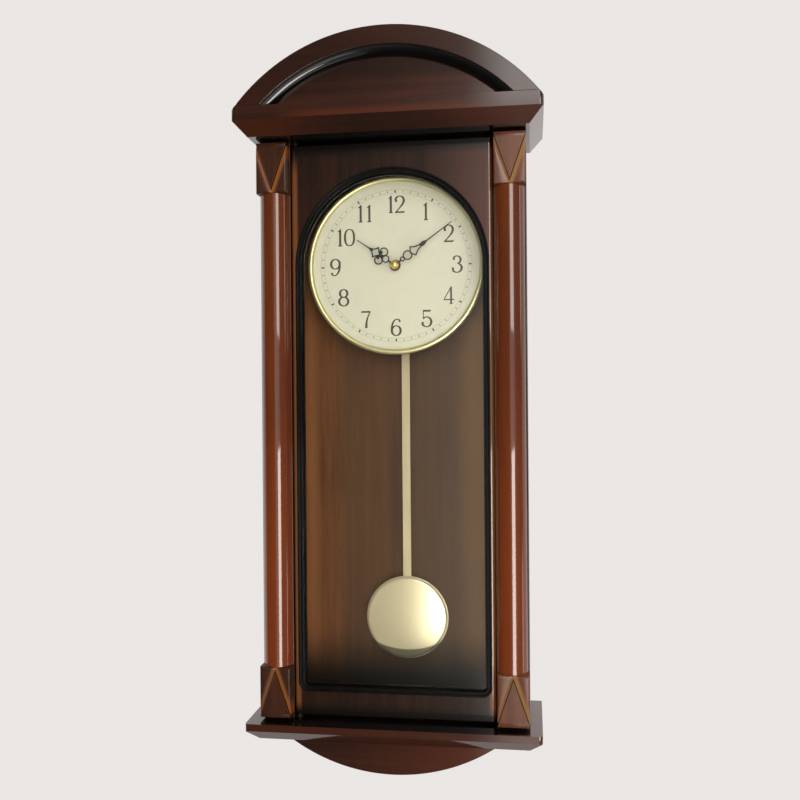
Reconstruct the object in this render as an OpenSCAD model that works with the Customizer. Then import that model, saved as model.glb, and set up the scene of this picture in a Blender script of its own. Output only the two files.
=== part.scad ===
// Pendulum wall clock: arched hood, half-round columns, glazed door, round dial and quartz chime movement.
// X runs to the viewer's right, Y into the wall and Z up, and the wall is the plane Y = 0.
// The origin is the centre of the hanger's round entry hole, on the wall plane.

/* [Hood and base] */
// Width of the hood board, the widest board of the case
hood_w = 270; // [262:1:280]
// Depth of the hood from the wall to its front
hood_d = 112; // [110:1:120]
// Height of the arch above the vertical ends of the hood board
arch_rise = 67; // [60:1:72]
// Thickness of the hood board
hood_board_t = 25; // [23:1:28]
// Height of the bevel under the hood board
hood_bevel_h = 13; // [10:1:14]
// Width of the flat arched band seen from the front
arch_band = 16.5; // [14:0.5:20]
// Width of the base board
base_w = 261; // [256:1:268]
// Depth of the base board
base_d = 100; // [98:1:106]
// Thickness of the base board
base_t = 15.3; // [13:0.1:18]
// Drop of the round apron below the base board
apron_drop = 27.7; // [20:0.1:34]
// Width of the apron where it meets the base board
apron_w = 181; // [160:1:200]

/* [Case] */
// Width across the outer faces of the case sides
case_w = 240; // [238:1:244]
// Clear height between the base board and the hood board
bay_h = 519; // [490:1:550]
// Height of the hood board's underside above the hanger hole
hood_z = 19; // [18:1:22]
// Thickness of the case sides
side_t = 10; // [9:0.5:12]
// Thickness of the front stiles
stile_t = 16; // [14:0.5:18]
// Depth of the stile fronts in front of the wall
stile_d = 74.5; // [72:0.5:78]

/* [Columns] */
// Radius of the half-round columns
column_r = 13.2; // [12:0.1:13.4]
// Height of the carved blocks above and below a column
block_h = 45; // [40:1:50]
// How far the carved blocks stand in front of the stiles
block_out = 14; // [13.6:0.1:16]
// Depth of the carving along the V
carve_d = 2.6; // [1:0.1:4]

/* [Door] */
// Width of the door
door_w = 181.4; // [181:0.1:181.6]
// Thickness of the door
door_t = 15; // [14:0.5:15.5]
// Width across the black bead of the window
window_w = 174.6; // [170:0.1:174.8]
// Visible width of the black bead
bead_w = 4.8; // [4:0.1:6]
// Thickness of the glass
glass_t = 2; // [1.5:0.1:2.5]

/* [Dial] */
// Height of the dial centre, measured from the hanger hole
dial_z = -90; // [-92:0.5:-88]
// Radius of the printed dial
dial_r = 79; // [78:0.5:80]
// Length of the minute hand
minute_hand_l = 65; // [58:1:70]
// Length of the hour hand
hour_hand_l = 43; // [38:1:50]
// Time shown at rest, in minutes after twelve
shown_time = 609; // [0:1:719]

/* [Pendulum] */
// Distance of the pendulum to the right of the dial centre
pendulum_x = 4.5; // [3:0.5:6]
// Length from the pendulum's pivot to the middle of the bob
pendulum_l = 341; // [300:1:350]
// Radius of the bob
bob_r = 39.2; // [34:0.2:42]
// Width of the pendulum rod
rod_w = 7.6; // [5:0.1:8]

/* [Motion work] */
// Module of the motion work's teeth
gear_m = 0.5; // [0.46:0.01:0.5]

/* [Hidden] */
$fn = 96;
mahogany = [0.24, 0.13, 0.10];
red_brown = [0.44, 0.17, 0.09];
dark_panel = [0.20, 0.12, 0.10];
inner_brown = [0.32, 0.22, 0.16];
black = [0.07, 0.07, 0.07];
gold = [0.80, 0.70, 0.38];
pale_brass = [0.82, 0.78, 0.62];
steel = [0.62, 0.63, 0.64];
cream = [0.86, 0.84, 0.74];
plastic = [0.16, 0.16, 0.17];

// Heights of the boards
rail_z = hood_z + hood_board_t;
crease_z = hood_z + hood_bevel_h;
fascia_h = 8;
base_z = hood_z - bay_h;
base_low_z = base_z - base_t;
base_crease_z = base_z - 6.3;
hood_bevel_in = 12;
hood_bevel_back = 9.5;
base_bevel_in = 11;
base_bevel_back = 9.5;

// Arch of the hood: one circle through both fascia ends and the crown
arch_top_z = crease_z + fascia_h + arch_rise;
arch_r = (pow(hood_w / 2, 2) + pow(arch_rise, 2)) / (2 * arch_rise);
arch_cz = arch_top_z - arch_r;
arch_in_r = arch_r - arch_band;
arch_board_t = 18;
board_corner_r = 3;
cove_r = 7.5;
tympanum_y = -hood_d + 11;
tympanum_t = 5;
hood_skin_t = 6;

// Depths of the case, all measured from the wall
stile_y = -stile_d;
side_y = stile_y + stile_t;
panel_y = -6;
panel_t = 4;
rabbet_w = 5;
side_in_x = case_w / 2 - side_t;
stile_in_x = 91.6;
column_x = stile_in_x + column_r + 0.4;
block_w = case_w / 2 - stile_in_x - 0.4;
block_x = stile_in_x + 0.2 + block_w / 2;
shadow_gap = 2;

// Door and window
door_gap = 3;
door_top_z = hood_z - door_gap;
door_low_z = base_z + door_gap;
edge_r = 3.4;
rear_edge_r = 2;
window_hw = window_w / 2;
window_cz = -93;
window_low_z = base_z + 23.6;
window_corner_r = 9;
bead_t = 4;
bead_proud = 0.6;
opening_in = 3.3;
glass_y = stile_y + bead_t;
stop_t = 3.5;
pivot_x = -door_w / 2 + edge_r;
pivot_y = stile_y + edge_r;
pivot_r = 1.25;
pivot_depth = 10;
bush_r = 3;
bush_h = 8;
run_gap = 0.05;
catch_x = [60, 84];

// Dial and movement, in depth from the dial to the wall
plate_y = -42.5;
plate_t = 0.8;
dial_board_t = 4;
case_y = plate_y + plate_t + dial_board_t;
fixing_nut_y = plate_y + plate_t;
fixing_nut_t = 1.9;
cover_y = -16.7;
cover_t = 2;
move_hw = 66;
move_hh = 42;
wall_t = 2;
move_corner_r = 6;
post_x = 30;
post_dz = 54;
post_r = 4;
access_hw = 62;
access_hh = 40;

// Centre of the hands
bush_out_r = 4;
pipe_r = 2.8;
arbor_r = 1.85;
thread_r = 1.25;
rear_pivot_r = 0.95;
spindle_r = 1.5;
hour_hand_y = -46.9;
minute_hand_y = -49.3;
hand_t = 0.5;
thread_out = 1.9;
pipe_front_y = -47.2;
minute_deg = 6 * (shown_time % 60);
hour_deg = shown_time / 2;

// Motion work: 10 teeth drive 30, and 8 drive 32, so that the hour hand turns at a twelfth
cannon_n = 10;
minute_wheel_n = 30;
minute_pinion_n = 8;
hour_wheel_n = 32;
pressure_deg = 20;
gear_d = gear_m * (cannon_n + minute_wheel_n) / 2;
gear_y = -26.8;
gear_t = 1.4;
cannon_t = 2;
cannon_y = gear_y - (cannon_t - gear_t) / 2;
tooth_tip = 0.8 * gear_m;
tooth_foot = 1.25 * gear_m;
hour_gear_y = -32.6;
stud_r = 0.8;
backlash = 0.14;

// Cells, speaker and switch inside the movement
cell_r = 7.1;
cell_x = [-52, -35.5];
cell_y = -28.5;
cell_low_z = dial_z - 25.5;
cell_h = 49.5;
speaker_x = 44;
speaker_r = 19.6;
switch_z = dial_z + 29.5;
switch_x = [-15, -11];
switch_travel = 6;

// Pendulum
pivot_z = dial_z + 10;
bob_z = pivot_z - pendulum_l;
arm_l = 52;
pin_r = 1.5;
peg_r = 1.2;
peg_z = pivot_z - 48;
rod_y = -11.4;
rod_t = 0.8;
magnet_z = pivot_z - 42;
bob_rim_r = 0.6;

// Screws
screw_r = 1.25;
screw_head_r = 2.4;
panel_screw_count = 5;
hanger_hw = 16;
hanger_r = 4.5;
hanger_slot = 2.3;
hanger_t = 2;
hanger_screw_l = 12;
post_screw_l = 12;
pocket_hw = 8.5;

// Shared forms

module block(x, y, z) {
    translate([x[0], y[0], z[0]]) cube([x[1] - x[0], y[1] - y[0], z[1] - z[0]]);
}

// A front view outline, X across and Z up, run from depth y0 back to y1
module front_outline(y0, y1) {
    translate([0, y1, 0]) rotate([90, 0, 0]) linear_extrude(y1 - y0) children();
}

// A side view outline, Y across and Z up, run across the width
module side_outline(x0, x1) {
    translate([x0, 0, 0]) rotate([90, 0, 90]) linear_extrude(x1 - x0) children();
}

module rod_y_axis(x, z, y0, y1, r) {
    translate([x, y1, z]) rotate([90, 0, 0]) cylinder(r = r, h = y1 - y0);
}

module upright(x, y, z0, z1, r) {
    translate([x, y, z0]) cylinder(r = r, h = z1 - z0);
}

// A profile of radius and depth, turned about the depth axis at x, z
module turned(x, z) {
    translate([x, 0, z]) rotate([90, 0, 0]) rotate_extrude() children();
}

module countersunk_screw(x, z, y_head, length) {
    translate([x, y_head, z]) rotate([90, 0, 0]) cylinder(r1 = screw_head_r, r2 = screw_r, h = 1.2);
    rod_y_axis(x, z, y_head - length, y_head, screw_r);
}

module round_rect(hw, hh, r) {
    square([2 * (hw - r), 2 * hh], center = true);
    square([2 * hw, 2 * (hh - r)], center = true);
    for (sx = [-1, 1], sz = [-1, 1]) translate([sx * (hw - r), sz * (hh - r)]) circle(r);
}

module ring(r, w) {
    difference() {
        circle(r + w / 2);
        circle(r - w / 2);
    }
}

// Plan of a board with its two front corners rounded
module board_plan(w, d) {
    r = board_corner_r;
    translate([-w / 2 + r, -d]) square([w - 2 * r, d]);
    translate([-w / 2, -d + r]) square([w, d - r]);
    for (s = [-1, 1]) translate([s * (w / 2 - r), -d + r]) circle(r);
}

// Hood

module above_rail() {
    translate([-hood_w, rail_z]) square([2 * hood_w, hood_w]);
}

module arch_disc(r) {
    intersection() {
        translate([0, arch_cz]) circle(r, $fn = 180);
        above_rail();
    }
}

module hood_board() {
    color(mahogany) difference() {
        intersection() {
            front_outline(-hood_d, 0) intersection() {
                polygon([
                    [-hood_w / 2 + hood_bevel_in, hood_z], [hood_w / 2 - hood_bevel_in, hood_z],
                    [hood_w / 2, crease_z], [hood_w / 2, rail_z], [-hood_w / 2, rail_z], [-hood_w / 2, crease_z]
                ]);
                translate([0, arch_cz]) circle(arch_r, $fn = 180);
            }
            side_outline(-hood_w / 2, hood_w / 2) polygon([
                [-hood_d, crease_z], [-hood_d, rail_z], [0, rail_z], [0, hood_z],
                [-hood_d + hood_bevel_back, hood_z]
            ]);
            translate([0, 0, hood_z]) linear_extrude(hood_board_t) board_plan(hood_w, hood_d);
        }
        upright(pivot_x, pivot_y, hood_z - 1, hood_z + bush_h, bush_r);
    }
}

module hood_arch() {
    color(mahogany) front_outline(-hood_d, -hood_d + arch_board_t) difference() {
        arch_disc(arch_r);
        translate([0, arch_cz]) circle(arch_in_r, $fn = 180);
    }
}

// Quarter-round moulding that turns inside the arch
module hood_moulding() {
    color(black) intersection() {
        turned(0, arch_cz) {
            translate([arch_in_r - cove_r, -tympanum_y]) square([cove_r, 1.5]);
            intersection() {
                translate([arch_in_r, -tympanum_y + 1.5]) circle(cove_r);
                translate([arch_in_r - cove_r, -tympanum_y + 1.5]) square(cove_r);
            }
        }
        block([-hood_w, hood_w], [-hood_d, 0], [rail_z, rail_z + hood_w]);
    }
}

module tympanum() {
    color(red_brown) front_outline(tympanum_y, tympanum_y + tympanum_t) arch_disc(arch_in_r);
}

module hood_top() {
    color(mahogany) front_outline(-hood_d + arch_board_t, 0) difference() {
        arch_disc(arch_r);
        translate([0, arch_cz]) circle(arch_r - hood_skin_t, $fn = 180);
    }
}

module hood_back() {
    color(inner_brown) front_outline(panel_y, panel_y + panel_t) arch_disc(arch_r - hood_skin_t);
}

// Case

module panel_screw_places() {
    for (side = [-1, 1], i = [0:panel_screw_count - 1])
        translate([side * (side_in_x + rabbet_w / 2), 0, base_z + 30 + i * (bay_h - 60) / (panel_screw_count - 1)])
            children();
}

module side_board(side) {
    x0 = side > 0 ? side_in_x : -case_w / 2;
    rabbet_x0 = side > 0 ? side_in_x - 1 : -side_in_x - rabbet_w;
    color(mahogany) difference() {
        block([x0, x0 + side_t], [side_y, 0], [base_z, hood_z]);
        block([rabbet_x0, rabbet_x0 + rabbet_w + 1], [panel_y, 1], [base_z - 1, hood_z + 1]);
        panel_screw_places() rod_y_axis(0, 0, panel_y - 9, panel_y, 1);
    }
}

module side_left() { side_board(-1); }

module side_right() { side_board(1); }

// Upright behind a column, with its outer front edge rounded
module stile(side) {
    w = case_w / 2 - stile_in_x;
    r = 2.5;
    color(mahogany) translate([0, 0, base_z]) linear_extrude(bay_h) mirror([side > 0 ? 0 : 1, 0])
        translate([stile_in_x, stile_y]) {
            square([w - r, stile_t]);
            translate([0, r]) square([w, stile_t - r]);
            translate([w - r, r]) circle(r);
        }
}

module stile_left() { stile(-1); }

module stile_right() { stile(1); }

module base_board() {
    color(mahogany) difference() {
        intersection() {
            front_outline(-base_d, 0) polygon([
                [-base_w / 2, base_z], [-base_w / 2, base_crease_z],
                [-base_w / 2 + base_bevel_in, base_low_z], [base_w / 2 - base_bevel_in, base_low_z],
                [base_w / 2, base_crease_z], [base_w / 2, base_z]
            ]);
            side_outline(-base_w / 2, base_w / 2) polygon([
                [-base_d, base_z], [-base_d, base_crease_z], [-base_d + base_bevel_back, base_low_z],
                [0, base_low_z], [0, base_z]
            ]);
            translate([0, 0, base_low_z]) linear_extrude(base_t) board_plan(base_w, base_d);
        }
        upright(pivot_x, pivot_y, base_z - bush_h, base_z + 1, bush_r);
    }
}

// Round apron: the lower segment of a circle, set back under the base board
module apron() {
    r = (pow(apron_w / 2, 2) + pow(apron_drop, 2)) / (2 * apron_drop);
    front = -base_d + 12;
    color(mahogany) front_outline(front, front + 16) intersection() {
        translate([0, base_low_z - apron_drop + r]) circle(r, $fn = 180);
        translate([-apron_w, base_low_z - 2 * apron_drop]) square([2 * apron_w, 2 * apron_drop]);
    }
}

module hanger_pocket(y0, y1) {
    block([-pocket_hw, pocket_hw], [y0, y1], [-7, 14]);
}

module post_places() {
    for (sx = [-1, 1], sz = [-1, 1]) translate([sx * post_x, 0, dial_z + sz * post_dz]) children();
}

module hanger_screw_places() {
    for (sx = [-1, 1], z = [-14, 12]) translate([sx * 12, 0, z]) children();
}

module back_panel() {
    rear = panel_y + panel_t;
    edge = side_in_x + rabbet_w;
    color(inner_brown) difference() {
        block([-edge, edge], [panel_y, rear], [base_z, hood_z]);
        block([-access_hw, access_hw], [panel_y - 1, rear + 1], [dial_z - access_hh, dial_z + access_hh]);
        hanger_pocket(panel_y - 1, rear + 1);
        panel_screw_places() {
            rod_y_axis(0, 0, panel_y - 1, rear, 1);
            rod_y_axis(0, 0, rear - 1, rear + 1, 2);
        }
        post_places() countersunk_screw(0, 0, rear, post_screw_l);
        hanger_screw_places() rod_y_axis(0, 0, panel_y - 1, rear + 1, screw_r);
    }
}

module hanging_rail() {
    color(mahogany) difference() {
        block([-side_in_x, side_in_x], [panel_y - 20, panel_y], [hood_z - 41, hood_z]);
        hanger_pocket(panel_y - 12, panel_y + 1);
        hanger_screw_places()
            rod_y_axis(0, 0, panel_y + panel_t + hanger_t - hanger_screw_l, panel_y + 1, screw_r);
    }
}

// Keyhole plate: the screw head goes in at the round hole and its shank slides up the slot
module hanger_plate() {
    rear = panel_y + panel_t + hanger_t;
    color(steel) difference() {
        front_outline(rear - hanger_t, rear) difference() {
            translate([0, -1]) round_rect(hanger_hw, 17, 4);
            circle(hanger_r);
            translate([-hanger_slot, 0]) square([2 * hanger_slot, 9]);
            translate([0, 9]) circle(hanger_slot);
        }
        hanger_screw_places() countersunk_screw(0, 0, rear, hanger_screw_l);
    }
}

module case_screws() {
    rear = panel_y + panel_t;
    color(steel) {
        panel_screw_places() {
            rod_y_axis(0, 0, panel_y - 9, rear - 0.5, 1);
            rod_y_axis(0, 0, rear - 1, rear, 2);
        }
        post_places() countersunk_screw(0, 0, rear, post_screw_l);
        post_places() mirror([0, 1, 0]) countersunk_screw(0, 0, -plate_y - plate_t, post_screw_l);
        hanger_screw_places() countersunk_screw(0, 0, rear + hanger_t, hanger_screw_l);
    }
}

// Columns and carved blocks

module column(side) {
    z0 = base_z + shadow_gap + 1 + block_h;
    z1 = hood_z - shadow_gap - block_h;
    color(red_brown) intersection() {
        upright(side * column_x, stile_y, z0, z1, column_r);
        block([-case_w, case_w], [stile_y - 2 * column_r, stile_y], [z0, z1]);
    }
}

module column_left() { column(-1); }

module column_right() { column(1); }

// Block with a flat V left standing between two facets that fall away from its outer edges.
// The V points down at the top of a column and up at its foot; z is the end the V points to.
module carved_block(side, z, up) {
    hw = block_w / 2;
    tip = 5;
    edge = 2.5;
    front = stile_y - block_out;
    color(red_brown) translate([side * block_x, 0, z]) mirror([0, 0, up ? 1 : 0]) difference() {
        intersection() {
            side_outline(-hw, hw) {
                translate([front + edge, 0]) square([block_out - edge, block_h]);
                translate([front, edge]) square([block_out, block_h - edge]);
                translate([front + edge, edge]) circle(edge);
            }
            front_outline(front, stile_y) {
                translate([-hw + edge, 0]) square([2 * (hw - edge), block_h]);
                translate([-hw, edge]) square([2 * hw, block_h - edge]);
                for (s = [-1, 1]) translate([s * (hw - edge), edge]) circle(edge);
            }
        }
        for (s = [0, 1]) mirror([s, 0, 0]) intersection() {
            front_outline(front - 1, stile_y) polygon([
                [0, tip], [0, -1], [hw + 1, -1], [hw + 1, block_h + 3.5], [hw, block_h]
            ]);
            translate([0, 0, -1]) linear_extrude(block_h + 2) polygon([
                [0, front - 1], [0, front + carve_d], [hw, front + 0.3], [hw, front - 1]
            ]);
        }
    }
}

module capital(side) { carved_block(side, hood_z - shadow_gap - block_h, false); }

module plinth(side) { carved_block(side, base_z + shadow_gap + 1 + block_h, true); }

module capital_left() { capital(-1); }

module capital_right() { capital(1); }

module plinth_left() { plinth(-1); }

module plinth_right() { plinth(1); }

// Magnet under the hood board that holds the door shut
module catch_body() {
    color(steel) difference() {
        block(catch_x, [side_y, side_y + 14], [hood_z - 10, hood_z]);
        block([catch_x[0] - 1, catch_x[1] + 1], [side_y - 1, side_y + 2], [hood_z - 7, hood_z - 3]);
    }
}

module pivot_bushes() {
    color(gold) difference() {
        union() {
            upright(pivot_x, pivot_y, hood_z, hood_z + bush_h, bush_r);
            upright(pivot_x, pivot_y, base_z - bush_h, base_z, bush_r);
        }
        upright(pivot_x, pivot_y, base_z - bush_h - 1, hood_z + bush_h + 1, pivot_r + run_gap);
    }
}

// Door

// Window outline, drawn in by a given width all round
module window_outline(inset) {
    hw = window_hw - inset;
    low = window_low_z + inset;
    r = window_corner_r - inset;
    translate([0, window_cz]) circle(hw, $fn = 180);
    translate([-hw, low + r]) square([2 * hw, window_cz - low - r]);
    translate([-hw + r, low]) square([2 * (hw - r), r + 1]);
    for (s = [-1, 1]) translate([s * (hw - r), low + r]) circle(r);
}

// Plan of the door: full-round front edges about the pivot, softer rear edges
module door_plan() {
    hw = door_w / 2;
    translate([-hw + edge_r, stile_y]) square([2 * (hw - edge_r), door_t]);
    translate([-hw, stile_y + edge_r]) square([2 * hw, door_t - edge_r - rear_edge_r]);
    for (s = [-1, 1]) {
        translate([s * (hw - edge_r), stile_y + edge_r]) circle(edge_r);
        translate([s * (hw - rear_edge_r), stile_y + door_t - rear_edge_r]) circle(rear_edge_r);
    }
}

module door_frame() {
    color(dark_panel) difference() {
        translate([0, 0, door_low_z]) linear_extrude(door_top_z - door_low_z) door_plan();
        front_outline(stile_y - 1, stile_y + door_t + 1) window_outline(opening_in);
        front_outline(stile_y - 1, glass_y) window_outline(0);
        upright(pivot_x, pivot_y, door_top_z - pivot_depth, door_top_z + 1, pivot_r);
        upright(pivot_x, pivot_y, door_low_z - 1, door_low_z + pivot_depth, pivot_r);
    }
}

// Black bead with a raised outer lip
module window_bead() {
    lip = 1.9;
    color(black) {
        front_outline(stile_y - bead_proud, glass_y) difference() {
            window_outline(0);
            window_outline(lip);
        }
        front_outline(stile_y - bead_proud + 1, glass_y) difference() {
            window_outline(lip);
            window_outline(bead_w);
        }
    }
}

module glass_pane() {
    color([0.8, 0.9, 0.9, 0.3]) front_outline(glass_y, glass_y + glass_t) window_outline(opening_in + 0.3);
}

module glass_stop() {
    color(dark_panel) front_outline(glass_y + glass_t, glass_y + glass_t + stop_t) difference() {
        window_outline(opening_in);
        window_outline(opening_in + 3);
    }
}

module pivot_pins() {
    end_gap = 0.5;
    color(steel) {
        upright(pivot_x, pivot_y, door_top_z - pivot_depth, hood_z + bush_h - end_gap, pivot_r);
        upright(pivot_x, pivot_y, base_z - bush_h + end_gap, door_low_z + pivot_depth, pivot_r);
        upright(pivot_x, pivot_y, base_z + 0.2, door_low_z, 2.6);
    }
}

module strike_plate() {
    rear = stile_y + door_t;
    color(steel) block(catch_x, [rear, rear + 0.6], [door_top_z - 12, door_top_z - 0.5]);
}

// Dial

module dial_posts() {
    color(steel) post_places() difference() {
        rod_y_axis(0, 0, case_y, panel_y, post_r);
        rod_y_axis(0, 0, panel_y + panel_t - post_screw_l, panel_y + 1, screw_r);
        rod_y_axis(0, 0, case_y - 1, plate_y + plate_t + post_screw_l, screw_r);
    }
}

// Hexagon of the fixing nut, sunk in the dial board and covered by the dial
module fixing_hexagon(grow, out) {
    translate([0, fixing_nut_y + fixing_nut_t, dial_z]) rotate([90, 0, 0])
        cylinder(r = 6.9 + grow, h = fixing_nut_t + out, $fn = 6);
}

module dial_board() {
    color(inner_brown) difference() {
        rod_y_axis(0, dial_z, plate_y + plate_t, case_y, dial_r);
        rod_y_axis(0, dial_z, plate_y - 1, case_y + 1, bush_out_r + 0.2);
        fixing_hexagon(0.15, 1);
        post_places() mirror([0, 1, 0]) countersunk_screw(0, 0, -plate_y - plate_t, post_screw_l);
    }
}

module dial_plate() {
    color(cream) difference() {
        rod_y_axis(0, dial_z, plate_y, plate_y + plate_t, dial_r);
        rod_y_axis(0, dial_z, plate_y - 1, plate_y + plate_t + 1, bush_out_r + 0.2);
    }
}

// Rolled ring over a skirt that grips the edge of the dial board
module bezel() {
    roll_r = 2.4;
    color(gold) turned(0, dial_z) {
        translate([dial_r + 0.6, -plate_y + 2.4]) circle(roll_r);
        translate([dial_r, -case_y + 1]) square([2.2, -plate_y + 2.4 + case_y - 1]);
    }
}

// Movement

module move_outline(inset) {
    translate([0, dial_z]) round_rect(move_hw - inset, move_hh - inset, move_corner_r - inset);
}

module cell_bay(grow, y0, y1) {
    block([-60 - grow, -27.5 + grow], [y0, y1], [dial_z - 29 - grow, dial_z + 28.5 + grow]);
}

module movement_case() {
    inner_y = case_y + wall_t;
    color(plastic) {
        difference() {
            front_outline(case_y, inner_y) move_outline(0);
            rod_y_axis(0, dial_z, case_y - 1, inner_y + 1, bush_out_r);
        }
        front_outline(inner_y, cover_y) difference() {
            move_outline(0);
            move_outline(wall_t);
        }
        difference() {
            cell_bay(2, inner_y, cover_y);
            cell_bay(0, inner_y - 1, cover_y + 1);
        }
        rod_y_axis(gear_d, dial_z, inner_y, -25, stud_r);
        difference() {
            rod_y_axis(2 * gear_d, dial_z, inner_y, -28.6, 2.5);
            rod_y_axis(2 * gear_d, dial_z, -31, -28, stud_r + run_gap);
        }
        for (x = [-18, 16]) rod_y_axis(x, dial_z + 29, inner_y, -24, 2);
    }
}

module speaker_slots() {
    for (i = [-3:3]) {
        half = sqrt(pow(speaker_r - 5, 2) - pow(4.6 * i, 2));
        translate([speaker_x + 4.6 * i, 0, dial_z]) block([-1.2, 1.2], [cover_y - 1, 0], [-half, half]);
    }
}

module movement_cover() {
    rear = cover_y + cover_t;
    color(plastic) difference() {
        union() {
            front_outline(cover_y, rear) move_outline(0);
            rod_y_axis(0, dial_z, cover_y - 1.3, cover_y, 4);
            rod_y_axis(2 * gear_d, dial_z, cover_y - 4.3, cover_y, 3.5);
            rod_y_axis(pendulum_x, pivot_z, cover_y - 3.3, cover_y, 3.5);
        }
        cell_bay(0, cover_y - 1, 0);
        speaker_slots();
        rod_y_axis(0, dial_z, -30, 0, rear_pivot_r + run_gap);
        rod_y_axis(2 * gear_d, dial_z, -30, 0, spindle_r + run_gap);
        rod_y_axis(pendulum_x, pivot_z, -30, 0, pin_r);
        block([switch_x[0] - 0.3, switch_x[1] + switch_travel + 0.3], [cover_y - 1, 0],
            [switch_z - 2.1, switch_z + 2.1]);
    }
}

module centre_bush() {
    color(gold) difference() {
        union() {
            rod_y_axis(0, dial_z, case_y + wall_t, case_y + wall_t + 1.2, 6.5);
            rod_y_axis(0, dial_z, -46.2, case_y + wall_t, bush_out_r);
        }
        rod_y_axis(0, dial_z, -50, -30, pipe_r + run_gap);
    }
}

module fixing_nut() {
    color(gold) difference() {
        fixing_hexagon(0, 0);
        rod_y_axis(0, dial_z, -50, -30, bush_out_r);
    }
}

// Closed gearbox of the stepping motor, with a clear hole for the centre arbor
module train_module() {
    color(pale_brass) difference() {
        block([-24.5, 6], [-24, -18], [dial_z - 16, dial_z + 5.5]);
        rod_y_axis(0, dial_z, -30, -10, 2.2);
    }
}

module stepper_coil() {
    color([0.62, 0.33, 0.16]) translate([-24.5, -24, dial_z - 22]) rotate([0, 90, 0]) {
        cylinder(r = 4, h = 18);
        cylinder(r = 5, h = 1.2);
        translate([0, 0, 16.8]) cylinder(r = 5, h = 1.2);
    }
}

module circuit_board() {
    rear = -22.8;
    color([0.10, 0.32, 0.16]) {
        block([-24, 22], [-24, rear], [dial_z + 20, dial_z + 38]);
        block([-18, -2], [rear, rear + 4], [switch_z - 4.5, switch_z + 4.5]);
        rod_y_axis(12, dial_z + 29, rear, rear + 1.5, 4);
        for (x = [2, 5]) rod_y_axis(x, dial_z + 24, rear, rear + 3.5, 1.2);
    }
}

module cell(i) {
    color([0.20, 0.36, 0.24]) {
        upright(cell_x[i], cell_y, cell_low_z, cell_low_z + cell_h, cell_r);
        upright(cell_x[i], cell_y, cell_low_z + cell_h, cell_low_z + cell_h + 1.5, 2.6);
    }
}

module cell_left() { cell(0); }

module cell_right() { cell(1); }

// Flat contact over each cell and a coned spring under it
module cell_contacts() {
    top = dial_z + 28.5;
    low = dial_z - 29;
    color(steel) for (x = cell_x) {
        block([x - 5, x + 5], [cell_y - 5, cell_y + 5], [top - 0.5, top]);
        upright(x, cell_y, cell_low_z + cell_h + 1.5, top - 0.5, 2);
        block([x - 5, x + 5], [cell_y - 5, cell_y + 5], [low, low + 0.5]);
        translate([x, cell_y, low + 0.5]) cylinder(r1 = 4, r2 = 2.4, h = cell_low_z - low - 0.5);
    }
}

// Small loudspeaker that faces the slots of the rear cover
module speaker() {
    color([0.30, 0.30, 0.31]) turned(speaker_x, dial_z) polygon([
        [0, 33.5], [9, 33.5], [9, 26.5], [speaker_r - 2, 18.9], [speaker_r, 18.9], [speaker_r, -cover_y],
        [speaker_r - 2.5, -cover_y], [8, 24.5], [5, 24.5], [3, 23.4], [0, 23]
    ]);
}

module drive_coil() {
    color([0.62, 0.33, 0.16]) difference() {
        rod_y_axis(pendulum_x, magnet_z, -24, cover_y, 7);
        rod_y_axis(pendulum_x, magnet_z, -25, cover_y + 1, 2);
    }
}

module pendulum_pin() {
    color(steel) {
        rod_y_axis(pendulum_x, pivot_z, cover_y - 3.3, -9.2, pin_r);
        rod_y_axis(pendulum_x, pivot_z, -9.3, -8.6, 2.8);
    }
}

// Motion work, with involute teeth

function involute_deg(a) = (tan(a) - a * PI / 180) * 180 / PI;

// Half angle of a tooth at radius r, on a pitch radius rp with half angle half
function tooth_deg(r, rp, half) =
    let (rb = rp * cos(pressure_deg))
    half + involute_deg(pressure_deg) - (r > rb ? involute_deg(acos(rb / r)) : 0);

function tooth(n) =
    let (
        rp = gear_m * n / 2,
        half = 90 / n - backlash * 90 / (PI * rp),
        radii = [rp - tooth_foot, rp - tooth_foot / 3, rp + tooth_tip / 3, rp + 2 * tooth_tip / 3, rp + tooth_tip],
        rising = [for (r = radii) [r, -tooth_deg(r, rp, half)]],
        falling = [for (i = [len(radii) - 1:-1:0]) [radii[i], tooth_deg(radii[i], rp, half)]]
    )
    concat(rising, falling);

module gear(n, turn) {
    polygon([
        for (k = [0:n - 1], p = tooth(n))
            p[0] * [cos(p[1] + turn + k * 360 / n), sin(p[1] + turn + k * 360 / n)]
    ]);
}

module cannon_gear(x) {
    translate([x, 0, dial_z]) front_outline(cannon_y, cannon_y + cannon_t) gear(cannon_n, 0);
}

module minute_arbor() {
    color(steel) {
        rod_y_axis(0, dial_z, minute_hand_y + hand_t, cannon_y, arbor_r);
        cannon_gear(0);
        rod_y_axis(0, dial_z, cannon_y + cannon_t, cover_y - 1.7, 1.5);
        rod_y_axis(0, dial_z, cover_y - 1.7, cover_y + cover_t - 0.2, rear_pivot_r);
        rod_y_axis(0, dial_z, minute_hand_y - thread_out, minute_hand_y + hand_t, thread_r);
    }
}

module hour_wheel() {
    color(pale_brass) difference() {
        union() {
            translate([0, 0, dial_z]) front_outline(hour_gear_y, hour_gear_y + gear_t)
                gear(hour_wheel_n, 0);
            rod_y_axis(0, dial_z, pipe_front_y, hour_gear_y + gear_t, pipe_r);
        }
        rod_y_axis(0, dial_z, -50, -20, arbor_r + run_gap);
    }
}

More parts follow.
